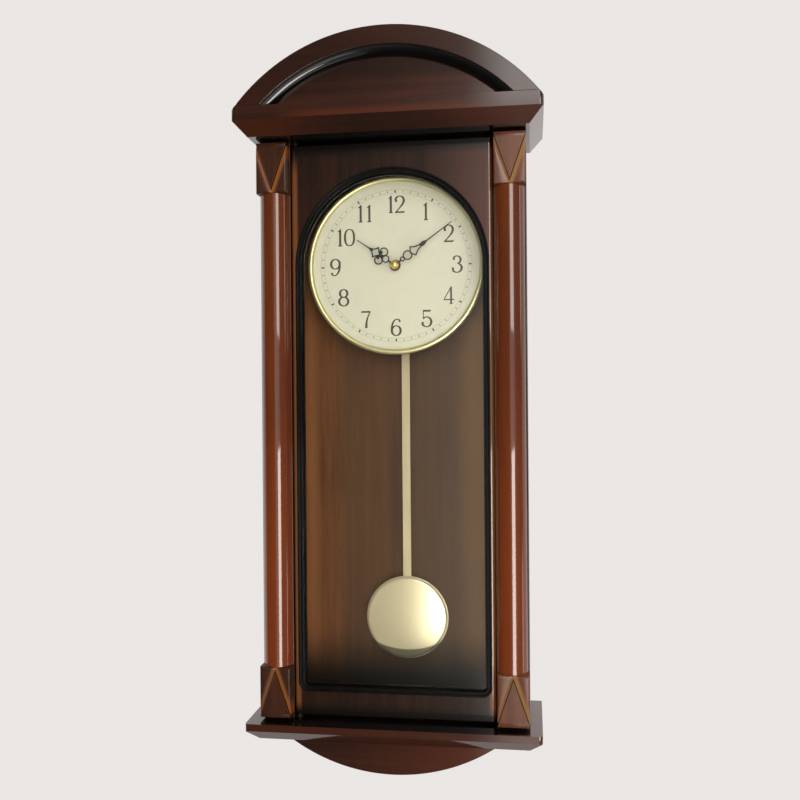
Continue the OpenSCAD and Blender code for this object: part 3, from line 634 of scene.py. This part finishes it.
def number(name, description, default, low, high, **kind):
    """A number, with its unit or subtype where one fits."""
    return FloatProperty(
        name=name, description=description, default=default, min=low, max=high, **kind
    )


class WoodSettings(bpy.types.PropertyGroup):
    mahogany_dark: tone("Mahogany dark", "Darkest stain of the boards", (0.026, 0.011, 0.007))
    mahogany_light: tone("Mahogany light", "Lightest streak of the boards", (0.074, 0.023, 0.012))
    # Painted sheen, a warmer colour laid where the boards catch light
    crest: tone("Crest", "Warmer stain where the boards catch light", (0.14, 0.03, 0.01))
    column_dark: tone("Column dark", "Darkest stain of the columns", (0.13, 0.028, 0.008))
    column_light: tone("Column light", "Lightest streak of the columns", (0.21, 0.046, 0.011))
    # Painted light, a brighter red low on the columns
    column_glow: tone("Column glow", "Brighter stain low on the columns", (0.34, 0.064, 0.014))
    block_dark: tone("Block dark", "Darkest stain of the left blocks", (0.042, 0.015, 0.008))
    block_light: tone("Block light", "Lightest streak of the left blocks", (0.088, 0.028, 0.012))
    carving: tone("Carving", "Wood bared beside the left blocks' V", (0.4, 0.13, 0.028))
    # Painted light makes the right blocks' bared wood paler than the left ones'
    carving_pale: tone("Pale carving", "Wood bared beside the right blocks' V", (0.48, 0.24, 0.085))
    # Painted shade: near black laid under the hood, on the base's top, along the door's top and
    # foot, beside the window and in the carved cuts
    groove: tone("Groove", "Dark stain left in corners and grooves", (0.006, 0.004, 0.003))
    # Rubbed edges are wear; beside the carved V the same colour also stands as a painted highlight
    rubbed: tone("Rubbed edge", "Wood where edges are rubbed light", (0.26, 0.088, 0.026))
    door_dark: tone("Door dark", "Darkest stain of the door", (0.019, 0.009, 0.005))
    door_light: tone("Door light", "Lightest streak of the door", (0.043, 0.017, 0.009))
    # Painted sheen at the door's top right
    door_corner: tone("Door corner", "Paler stain at the door's top right", (0.115, 0.042, 0.024))
    inside_dark: tone("Inside dark", "Darkest tone of the rear panel", (0.078, 0.032, 0.013))
    inside_light: tone("Inside light", "Lightest tone of the rear panel", (0.15, 0.06, 0.022))
    # Painted reflection of the glass's glare, greyer towards the right
    inside_grey: tone("Inside grey", "Cooler tone of the rear panel", (0.06, 0.04, 0.024))
    # Painted light on the rear panel's right edge
    inside_pale: tone("Inside pale", "Tone of the rear panel's right edge", (0.315, 0.17, 0.058))
    inside_foot: tone("Inside foot", "Dark tone of the rear panel's foot", (0.01, 0.011, 0.008))
    black: tone("Black", "Black lacquer of the hood's moulding", (0.003, 0.003, 0.003))
    bead_dark: tone("Bead dark", "Darkest black of the window bead", (0.003, 0.003, 0.002))
    bead_light: tone("Bead light", "Lightest streak of the window bead", (0.006, 0.006, 0.005))
    rounding: number(
        "Edge rounding",
        "Radius to which the edges of the boards are sanded",
        0.8 * MM,
        0.0,
        2 * MM,
        unit="LENGTH",
    )


class DialSettings(bpy.types.PropertyGroup):
    paint: tone("Dial paint", "Cream paint of the dial", (0.64, 0.625, 0.485))
    print_ink: tone("Print", "Ink of the numerals", (0.042, 0.048, 0.022))
    track_ink: tone("Track", "Fainter ink of the minute track", (0.23, 0.225, 0.15))
    hand_paint: tone("Hands", "Paint of the hands", (0.02, 0.022, 0.014))
    bezel: tone("Bezel", "Gilt of the bezel", (0.76, 0.7, 0.37))
    numeral_radius: number(
        "Numeral radius",
        "From the dial's centre to the middle of a numeral",
        56.7 * MM,
        50 * MM,
        58 * MM,
        unit="LENGTH",
    )
    print_height: number(
        "Print height",
        "How far the minute track's ink stands on the dial",
        0.06 * MM,
        0.02 * MM,
        0.2 * MM,
        unit="LENGTH",
    )


class MetalSettings(bpy.types.PropertyGroup):
    pendulum: tone("Pendulum brass", "Pale brass of the bob", (0.84, 0.74, 0.475))
    satin: number(
        "Bob roughness", "Roughness of the bob's satin face", 0.25, 0.02, 0.6, subtype="FACTOR"
    )
    polished: tone("Polished brass", "Brass of the nuts and bushes", (0.92, 0.66, 0.23))
    steel: tone("Zinc steel", "Bright steel of the screws and plates", (0.52, 0.52, 0.53))
    # Dark steel that also stands as painted shade in the gaps where the pivots and the catch sit
    blued: tone("Blued steel", "Dark steel of the pivots and the catch", (0.035, 0.033, 0.032))


class StageSettings(bpy.types.PropertyGroup):
    wall: tone("Background", "Colour of floor and background", (0.825, 0.795, 0.775))
    ambient: number("Ambient", "Strength of the light from all round", 0.48, 0, 2)
    key: number("Key", "Power of the soft lamp at the front right", 17.0, 0, 200, unit="POWER")
    window: number(
        "Window", "Power of the upper pane that shines back in gloss", 3.6, 0, 20, unit="POWER"
    )


GROUPS = {
    "clock_wood": WoodSettings,
    "clock_dial": DialSettings,
    "clock_metal": MetalSettings,
    "clock_stage": StageSettings,
}


# ---------------------------------------------------------------- operators


class CLOCK_OT_boards(bpy.types.Operator):
    """Lacquer the plain boards of the case and the covering of the hood"""

    bl_idname = "clock.boards"
    bl_label = "Boards"

    def execute(self, context):
        w = context.scene.clock_wood
        boards = (w.mahogany_dark, w.mahogany_light)
        rubbed_edges = [(on_edges(1.8 * MM, 4.0), w.rubbed)]
        dress("hanging_rail", lacquered_wood("mahogany_across", *boards, ACROSS), w.rounding)
        upright = lacquered_wood("mahogany_upright", *boards, UP, touches=rubbed_edges)
        for name in ("side_left", "side_right", "stile_left", "stile_right"):
            dress(name, upright, w.rounding)
        cover = lacquered_wood("hood_cover_wood", *boards, ACROSS, coat=0.6, sheen=0.3)
        dress("hood_top", cover, w.rounding)
        return {"FINISHED"}


class CLOCK_OT_hood(bpy.types.Operator):
    """Lacquer the front of the hood: its board, its arch, the arch's panel and the moulding"""

    bl_idname = "clock.hood"
    bl_label = "Hood"

    def execute(self, context):
        w = context.scene.clock_wood
        boards = (w.mahogany_dark, w.mahogany_light)
        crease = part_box("hood_arch")[0].z - 12 * MM
        # Painted sheen along the crease at the fascia's foot
        along_crease = where(
            between(UP, crease - 0.5 * MM, crease + 1 * MM, crease + 2 * MM, crease + 9 * MM),
            from_middle(105 * MM, 60 * MM),
            facing(INWARD, -0.5, -0.8),
            strength=0.6,
        )
        # Painted shade in the middle of the downward slant, and painted sheen at its ends
        slant = facing(UP, -0.2, -0.5)
        # Painted shade on the hood's underside
        underside = facing(UP, -0.85, -0.97)
        board = lacquered_wood(
            "hood_wood",
            *boards,
            ACROSS,
            touches=[
                (along_crease, w.crest),
                (where(slant, from_middle(70 * MM, 20 * MM), strength=0.55), w.mahogany_dark),
                (where(slant, from_middle(40 * MM, 110 * MM), strength=0.4), w.crest),
                (underside, w.groove),
            ],
        )
        dress("hood_board", board, 0.5 * MM)
        arch = lacquered_wood("arch_wood", boards[0], shade(boards[1], 0.8), ACROSS)
        dress("hood_arch", arch, 0.5 * MM)
        low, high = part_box("tympanum")
        upper = between(UP, low.z + 16 * MM, low.z + 26 * MM, high.z - 12 * MM, high.z - 4 * MM)
        shaded = [(where(upper, strength=0.7), w.door_dark)]
        panel = lacquered_wood("tympanum_wood", *boards, ACROSS, coat=0.8, touches=shaded)
        dress("tympanum", panel)
        black = lacquered_wood("black_lacquer", w.black, shade(w.black, 2), ACROSS)
        dress("hood_moulding", black)
        return {"FINISHED"}


class CLOCK_OT_base(bpy.types.Operator):
    """Lacquer the base board and the apron under it"""

    bl_idname = "clock.base"
    bl_label = "Base"

    def execute(self, context):
        w = context.scene.clock_wood
        boards = (w.mahogany_dark, w.mahogany_light)
        # Painted sheen on the faces below the top and towards the right end
        below_top = facing(UP, 0.5, 0.2)
        # Painted shade on the top between the blocks, under the door
        top_middle = where(facing(UP, 0.8, 0.95), from_middle(128 * MM, 112 * MM))
        board = lacquered_wood(
            "base_wood",
            *boards,
            ACROSS,
            coat=0.95,
            touches=[
                (where(below_top, strength=0.25), w.crest),
                (where(past(ACROSS, 60 * MM, 140 * MM), strength=0.5), w.crest),
                (top_middle, w.groove),
            ],
        )
        dress("base_board", board, 1.1 * MM)
        # Painted sheen towards the right end of the apron
        rightward = [(where(past(ACROSS, -60 * MM, 110 * MM), strength=0.85), w.crest)]
        apron = lacquered_wood("apron_wood", *boards, ACROSS, touches=rightward)
        dress("apron", apron, w.rounding)
        return {"FINISHED"}


class CLOCK_OT_columns(bpy.types.Operator):
    """Lacquer the two half-round columns"""

    bl_idname = "clock.columns"
    bl_label = "Columns"

    def execute(self, context):
        w = context.scene.clock_wood
        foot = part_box("column_left")[0].z
        # Painted light, brighter towards the columns' foot
        downward = where(past(UP, foot + 302 * MM, foot + 52 * MM), strength=0.45)
        wood = lacquered_wood(
            "column_wood",
            w.column_dark,
            w.column_light,
            UP,
            streaks=90.0,
            fine=0.8,
            touches=[(downward, w.column_glow)],
        )
        for name in ("column_left", "column_right"):
            dress(name, wood)
        return {"FINISHED"}


class CLOCK_OT_blocks(bpy.types.Operator):
    """Carve and lacquer the blocks above and below the columns"""

    bl_idname = "clock.blocks"
    bl_label = "Carved blocks"

    def execute(self, context):
        w = context.scene.clock_wood
        slope = beside_line(0.4 * MM, 0.8 * MM, 0.8 * MM, 6.0 * MM)
        # Painted shade in the foot of the cut beside the V
        cut = beside_line(-0.1 * MM, 0.05 * MM, 0.5 * MM, 0.8 * MM)
        # Worn wood and a painted highlight on the standing V's edge
        lip_highlight_and_wear = beside_line(-0.5 * MM, -0.15 * MM, 0.0, 0.04 * MM)
        # The right blocks are paler copies of the left ones by painted light, and each slope's
        # right half gets more painted light
        for side, painted_light_gain, bared in (("left", 1.0, w.carving), ("right", 2.3, w.carving_pale)):
            wood = lacquered_wood(
                f"carved_block_wood_{side}",
                shade(w.block_dark, painted_light_gain),
                shade(w.block_light, painted_light_gain),
                UP,
                streaks=180.0,
                fine=0.6,
                coat=0.45,
                sheen=0.2,
                touches=[
                    (where(slope, strength=0.5), bared),
                    (where(slope, right_of_block, strength=0.9), bared),
                    (where(cut, strength=0.85), w.groove),
                    (where(lip_highlight_and_wear, strength=0.5), w.rubbed),
                ],
            )
            for end in ("capital", "plinth"):
                carve_block(f"{end}_{side}", end == "plinth", wood)
                dress(f"{end}_{side}", wood)
        return {"FINISHED"}


class CLOCK_OT_rear_panel(bpy.types.Operator):
    """Lacquer the rear panel and the boards behind the hood and the dial"""

    bl_idname = "clock.rear_panel"
    bl_label = "Rear panel"

    def execute(self, context):
        w = context.scene.clock_wood
        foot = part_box("back_panel")[0].z
        front = facing(INWARD, -0.5, -0.9)
        # Painted reflection of the glass's glare, greyer towards the right, and painted light at
        # both edges of the window
        from_left = where(past(ACROSS, -70 * MM, -48 * MM), front, strength=0.5)
        right_half = where(past(ACROSS, 0.0, 24 * MM), front, strength=0.35)
        right_edge = where(past(ACROSS, 46 * MM, 86 * MM), front, strength=0.95)
        left_edge = where(past(ACROSS, -77 * MM, -90 * MM), front, strength=0.85)
        at_foot = where(past(UP, foot + 72 * MM, foot + 14 * MM), front, strength=0.9)
        wood = lacquered_wood(
            "rear_panel_wood",
            w.inside_dark,
            w.inside_light,
            UP,
            streaks=160.0,
            coat=0.1,
            touches=[
                (from_left, w.inside_grey),
                (right_half, shade(w.inside_grey, 1.75)),
                (right_edge, w.inside_pale),
                (left_edge, shade(w.inside_light, 1.8)),
                (at_foot, w.inside_foot),
            ],
        )
        for name in ("back_panel", "hood_back", "dial_board"):
            dress(name, wood)
        return {"FINISHED"}


class CLOCK_OT_door(bpy.types.Operator):
    """Finish the door, its black bead and its glass"""

    bl_idname = "clock.door"
    bl_label = "Door"

    def execute(self, context):
        w = context.scene.clock_wood
        low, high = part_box("door_frame")
        glass_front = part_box("glass_pane")[0].y
        below_top = past(UP, high.z - 6 * MM, high.z - 30 * MM)
        side_edges = where(from_middle(83.6 * MM, 86.4 * MM), below_top, strength=0.85)
        # Painted sheen towards the door's top right
        near_top = past(UP, high.z - 216 * MM, high.z - 56 * MM)
        top_right = where(past(ACROSS, 20 * MM, 86 * MM), near_top, strength=0.8)
        behind = past(INWARD, glass_front - 0.7 * MM, glass_front + 0.5 * MM)
        window_side = where(behind, from_middle(88.0 * MM, 87.4 * MM))
        wood = lacquered_wood(
            "door_wood",
            w.door_dark,
            w.door_light,
            UP,
            streaks=95.0,
            sheen=0.08,
            touches=[
                (side_edges, w.rubbed),
                (top_right, w.door_corner),
                # Painted shade along the door's top under the hood and its foot above the base, and
                # at the window's edge behind the glass
                (past(UP, high.z - 14 * MM, high.z - 2 * MM), w.groove),
                (past(UP, low.z + 13 * MM, low.z + 1 * MM), w.groove),
                (window_side, w.groove),
            ],
        )
        dress("door_frame", wood)
        blacks = (w.bead_dark, w.bead_light)
        bead = lacquered_wood("bead_lacquer", *blacks, UP, coat=0.18, sheen=0.14)
        dress("glass_stop", bead)
        dress("window_bead", bead, 0.5 * MM, segments=3)
        dress("glass_pane", clear_glass())
        return {"FINISHED"}


class CLOCK_OT_dial(bpy.types.Operator):
    """Paint the dial, print its numerals and minute track, and gild its bezel"""

    bl_idname = "clock.dial"
    bl_label = "Dial"

    def execute(self, context):
        d = context.scene.clock_dial
        dress("dial_plate", dial_paint(d.paint))
        ink = moulded_plastic("dial_ink", d.print_ink, 0.5, 0.05)
        faint = moulded_plastic("track_ink", d.track_ink, 0.5, 0.05)
        bold = 1.3 * d.print_height
        print_on_dial("dial_numerals", numeral_shapes(d.numeral_radius / MM), ink, bold)
        print_on_dial("hour_marks", hour_mark_shapes(), ink, bold)
        print_on_dial("minute_track", track_shapes(), faint, d.print_height)
        dress("bezel", metal("bezel_gilt", d.bezel, 0.34, haze=0.25))
        return {"FINISHED"}


class CLOCK_OT_hands(bpy.types.Operator):
    """Paint the hands and polish the nuts and bushes"""

    bl_idname = "clock.hands"
    bl_label = "Hands"

    def execute(self, context):
        black = moulded_plastic("hand_paint", context.scene.clock_dial.hand_paint, 0.35, 0.05)
        for name in ("minute_hand", "hour_hand"):
            dress(name, black)
        brass = metal("bright_brass", context.scene.clock_metal.polished, 0.24, haze=0.3)
        for name in ("hand_nut", "fixing_nut", "centre_bush", "pivot_bushes"):
            dress(name, brass)
        return {"FINISHED"}


class CLOCK_OT_movement(bpy.types.Operator):
    """Finish the movement, its wheels, its cells and its coils"""

    bl_idname = "clock.movement"
    bl_label = "Movement"

    def execute(self, context):
        black = moulded_plastic("movement_black", (0.016, 0.016, 0.018), 0.42, 0.35)
        for name in ("movement_case", "movement_cover", "setting_knob", "pendulum_arm"):
            dress(name, black)
        white = moulded_plastic("wheel_white", (0.62, 0.60, 0.53), 0.35, 0.08)
        for name in ("hour_wheel", "minute_wheel", "chime_switch"):
            dress(name, white)
        dress("train_module", moulded_plastic("train_grey", (0.20, 0.21, 0.22), 0.4, 0.15))
        copper = metal("copper_winding", (0.60, 0.22, 0.08), 0.3, 0.6, ACROSS)
        for name in ("stepper_coil", "drive_coil"):
            dress(name, copper)
        dress("circuit_board", moulded_plastic("board_green", (0.015, 0.10, 0.035), 0.3, 0.1))
        dress("speaker", moulded_plastic("speaker_black", (0.02, 0.02, 0.022), 0.6, 0.4))
        cell = metal("cell_wrap", (0.05, 0.16, 0.09), 0.3)
        for name in ("cell_left", "cell_right"):
            dress(name, cell)
        return {"FINISHED"}


class CLOCK_OT_pendulum(bpy.types.Operator):
    """Finish the pendulum's rod and bob"""

    bl_idname = "clock.pendulum"
    bl_label = "Pendulum"

    def execute(self, context):
        m = context.scene.clock_metal
        dress("pendulum_rod", metal("rod_brass", shade(m.pendulum, 0.56), 0.42, 0.2, UP))
        low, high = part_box("bob_shell")
        above = Vector(((low.x + high.x) / 2, low.y, (low.z + high.z) / 2 + 45 * MM))
        # Painted reflection: a dark band round the bob's lower edge, where the dark case below
        # would mirror
        painted_reflection_edge = where(beyond(above, 74.0 * MM, 75.6 * MM), facing(INWARD, -0.55, -0.8))
        dark = [(painted_reflection_edge, shade(m.pendulum, 0.26))]
        brass = metal("bob_brass", m.pendulum, m.satin, haze=0.55, touches=dark)
        for name in ("bob_shell", "bob_back"):
            dress(name, brass)
        return {"FINISHED"}


class CLOCK_OT_hardware(bpy.types.Operator):
    """Finish the screws, posts, plates and pins"""

    bl_idname = "clock.hardware"
    bl_label = "Hardware"

    def execute(self, context):
        m = context.scene.clock_metal
        steel = metal("zinc_steel", m.steel, 0.3, 0.3)
        for name in (
            "case_screws",
            "hanger_plate",
            "strike_plate",
            "dial_posts",
            "minute_arbor",
            "pendulum_pin",
            "cell_contacts",
        ):
            dress(name, steel)
        # Dark steel, also painted shade where the pivots and the catch sit in gaps
        blued = metal("steel_painted_shade", m.blued, 0.45, 0.2)
        for name in ("pivot_pins", "catch_body"):
            dress(name, blued)
        return {"FINISHED"}


class CLOCK_OT_stage(bpy.types.Operator):
    """Set up the background, the lamps and the camera"""

    bl_idname = "clock.stage"
    bl_label = "Stage"

    def execute(self, context):
        s = context.scene.clock_stage
        make_sweep(s.wall)
        make_world(s.wall, s.ambient)
        middle = (0, -0.06, -0.2)
        area_lamp("key_lamp", (0.22, -1.85, 0.04), middle, (1.2, 1.2), s.key)
        area_lamp("back_lamp", (1.0, 1.5, 0.4), middle, (1.0, 1.0), 0.8 * s.key)
        window_x, window_y, pane = 0.365, -1.01, (0.43, 0.46)
        for name, z, power in (
            ("window_upper", 0.14, s.window),
            ("window_lower", -0.54, 1.7 * s.window),
        ):
            lamp = area_lamp(name, (window_x, window_y, z), (window_x, 0, z), pane, power)
            show_in_gloss(lamp)
        make_camera(context)
        context.scene.view_settings.view_transform = "Standard"
        return {"FINISHED"}


# ---------------------------------------------------------------- stage


def make_sweep(colour):
    """A pale floor that turns up into a background, well behind and below the clock.

    The camera sees it as an even tone, which keeps some of the clock's shadow on the floor.
    """
    half, radius, steps = 6.0, 0.8, 12
    front_y, back_y, floor_z, top_z = -6.0, 1.9, -1.45, 4.0
    profile = [(front_y, floor_z)]
    for k in range(steps + 1):
        a = math.radians(90 * k / steps)
        rise = radius - radius * math.cos(a)
        profile.append((back_y - radius + radius * math.sin(a), floor_z + rise))
    profile.append((back_y, top_z))
    points = [(x, y, z) for y, z in profile for x in (-half, half)]
    faces = [(2 * i, 2 * i + 1, 2 * i + 3, 2 * i + 2) for i in range(len(profile) - 1)]
    mesh = bpy.data.meshes.new("studio_sweep")
    mesh.from_pydata(points, [], faces)
    for face in mesh.polygons:
        face.use_smooth = True
    made, tree, shader = material("studio_paint", Roughness=0.9, Base_Color=opaque(colour))
    even = add(tree, "ShaderNodeEmission", {"Color": opaque(colour), "Strength": 1.0})
    seen = add(tree, "ShaderNodeLightPath").outputs["Is Camera Ray"]
    shadowed = where(beyond((0, -0.06, floor_z), 1.5, 0.2), strength=0.35)(tree)
    share = product(tree, seen, maths(tree, "SUBTRACT", 1.0, shadowed))
    surface(tree, mix_shaders(tree, share, shader.outputs[0], even.outputs[0]))
    mesh.materials.append(made)
    ob = bpy.data.objects.new("studio_sweep", mesh)
    ob.visible_glossy = False
    ob.visible_transmission = False
    ob.visible_diffuse = False
    bpy.context.scene.collection.objects.link(ob)


def mirrored_room(tree):
    """How bright the room that gloss mirrors is in each direction, where 1 is the wall's tone.

    The room is dark at the left and brightens fast past straight ahead. It has two pale patches
    above and below there, paler ground to the right, a tall window at the far right, and the
    wall itself behind the clock.
    """
    toward = add(tree, "ShaderNodeTexCoord").outputs["Generated"]
    x, y, z = add(tree, "ShaderNodeSeparateXYZ", {0: toward}).outputs
    # The turn is to the right from straight ahead of the clock, and z is the sine of the height
    turn = maths(tree, "ARCTAN2", x, product(tree, y, -1.0))
    dawn = maths(tree, "DIVIDE", maths(tree, "ADD", turn, 0.052), 0.055)
    bright = maths(tree, "MINIMUM", product(tree, maths(tree, "EXPONENT", dawn), 0.7), 1.2)
    front = product(
        tree,
        bright,
        remap(tree, turn, 0.30, 0.80, 1.0, 0.1),
        remap(tree, z, -0.34, -0.24, 0.3, 1.0),
        remap(tree, z, 0.60, 0.36, 0.25, 1.0),
    )
    off_level = maths(tree, "ABSOLUTE", maths(tree, "ADD", z, 0.05))
    split = remap(tree, off_level, 0.08, 0.14)
    window = product(tree, band(tree, turn, 1.40, 1.45, 1.57, 1.62), split, 3.0)
    ground = product(tree, remap(tree, z, -0.30, -0.55), remap(tree, turn, 0.1, 0.9), 0.9)
    ahead = band(tree, turn, -0.07, -0.01, 0.20, 0.30)
    above = product(tree, ahead, band(tree, z, 0.255, 0.30, 0.40, 0.50), 3.0)
    below = product(tree, ahead, band(tree, z, -0.50, -0.40, -0.30, -0.25), 1.8)
    room = 0.01
    for part in (front, window, ground, above, below):
        room = maths(tree, "ADD", part, room)
    wall = remap(tree, y, 0.0, 0.06)
    return maths(tree, "ADD", product(tree, room, maths(tree, "SUBTRACT", 1.0, wall)), wall)


def make_world(colour, ambient):
    """Soft light, weaker from below, the room for gloss, and the plain wall for the camera."""
    world = bpy.data.worlds.new("studio")
    bpy.context.scene.world = world
    world.use_nodes = True
    world.cycles.sampling_method = "NONE"
    tree = world.node_tree
    tree.nodes.clear()

    def sky(tint, strength):
        inputs = {"Color": opaque(tint), "Strength": strength}
        return add(tree, "ShaderNodeBackground", inputs).outputs[0]

    toward = add(tree, "ShaderNodeTexCoord").outputs["Generated"]
    z = add(tree, "ShaderNodeSeparateXYZ", {0: toward}).outputs["Z"]
    soft = product(tree, remap(tree, z, -0.9, 0.35, 0.15, 1.0), ambient)
    rays = add(tree, "ShaderNodeLightPath").outputs
    deep = past_glass(tree, rays)
    mirrored = product(tree, rays["Is Transmission Ray"], deep)
    shining = maths(tree, "MAXIMUM", rays["Is Glossy Ray"], mirrored)
    lit = mix_shaders(tree, shining, sky((1, 1, 1), soft), sky(colour, mirrored_room(tree)))
    through = product(tree, rays["Is Transmission Ray"], maths(tree, "SUBTRACT", 1.0, deep))
    straight = maths(tree, "MAXIMUM", rays["Is Camera Ray"], through)
    out = add(tree, "ShaderNodeOutputWorld")
    tree.links.new(mix_shaders(tree, straight, lit, sky(colour, 1.0)), out.inputs["Surface"])


def past_glass(tree, rays):
    """1 for a ray that has done more than pass through the two faces of the glass."""
    return maths(tree, "GREATER_THAN", rays["Ray Depth"], 2.5)


def area_lamp(name, place, target, size, power):
    """A lamp that lights the clock, and that neither the camera nor gloss sees."""
    lamp = bpy.data.lights.new(name, "AREA")
    lamp.shape = "RECTANGLE"
    lamp.size, lamp.size_y = size
    lamp.energy = power
    ob = bpy.data.objects.new(name, lamp)
    ob.location = place
    ob.rotation_euler = (Vector(target) - Vector(place)).to_track_quat("-Z", "Y").to_euler()
    ob.visible_camera = False
    ob.visible_glossy = False
    ob.visible_transmission = False
    bpy.context.scene.collection.objects.link(ob)
    return ob


def show_in_gloss(ob):
    """Makes a lamp shine back in gloss alone, and hides it from a ray straight through glass."""
    ob.visible_diffuse = False
    ob.visible_glossy = True
    ob.visible_transmission = True
    ob.data.color = (1.0, 0.92, 0.85)
    ob.data.use_nodes = True
    tree = ob.data.node_tree
    rays = add(tree, "ShaderNodeLightPath").outputs
    direct = maths(tree, "SUBTRACT", 1.0, past_glass(tree, rays))
    through = product(tree, rays["Is Transmission Ray"], direct)
    strength = maths(tree, "SUBTRACT", 1.0, through)
    tree.links.new(strength, tree.nodes["Emission"].inputs["Strength"])


def make_camera(context):
    """The photograph's viewpoint: a little low and to the right, turned slightly left."""
    data = bpy.data.cameras.new("camera")
    data.sensor_width = 36.0
    data.lens = 43.88
    data.shift_x = 0.0235
    ob = bpy.data.objects.new("camera", data)
    place = Matrix.Translation((0.1230, -0.9352, -0.2110))
    left, up, tilt = 0.153, -0.003, 0.008
    turn = Matrix.Rotation(left, 4, "Z") @ Matrix.Rotation(up, 4, "X")
    level = Matrix.Rotation(tilt, 4, "Y") @ Matrix.Rotation(math.pi / 2, 4, "X")
    ob.matrix_world = place @ turn @ level
    context.scene.collection.objects.link(ob)
    context.scene.camera = ob


# ---------------------------------------------------------------- add-on

OPERATORS = (
    CLOCK_OT_boards,
    CLOCK_OT_hood,
    CLOCK_OT_base,
    CLOCK_OT_columns,
    CLOCK_OT_blocks,
    CLOCK_OT_rear_panel,
    CLOCK_OT_door,
    CLOCK_OT_dial,
    CLOCK_OT_hands,
    CLOCK_OT_movement,
    CLOCK_OT_pendulum,
    CLOCK_OT_hardware,
    CLOCK_OT_stage,
)


class CLOCK_PT_panel(bpy.types.Panel):
    """Lists the clock's settings and the operators that make its looks"""

    bl_label = "Wall Clock"
    bl_idname = "CLOCK_PT_panel"
    bl_space_type = "VIEW_3D"
    bl_region_type = "UI"
    bl_category = "Wall Clock"

    def draw(self, context):
        for key, group in GROUPS.items():
            box = self.layout.box()
            box.label(text=group.__name__.replace("Settings", ""))
            for prop in group.__annotations__:
                box.prop(getattr(context.scene, key), prop)
        for operator in OPERATORS:
            self.layout.operator(operator.bl_idname)


CLASSES = (*GROUPS.values(), *OPERATORS, CLOCK_PT_panel)


def register():
    for cls in CLASSES:
        bpy.utils.register_class(cls)
    for key, group in GROUPS.items():
        setattr(bpy.types.Scene, key, PointerProperty(type=group))


def unregister():
    for key in GROUPS:
        delattr(bpy.types.Scene, key)
    for cls in reversed(CLASSES):
        bpy.utils.unregister_class(cls)


def main():
    register()
    for operator in OPERATORS:
        getattr(bpy.ops.clock, operator.bl_idname.split(".")[1])()


if __name__ == "__main__":
    main()
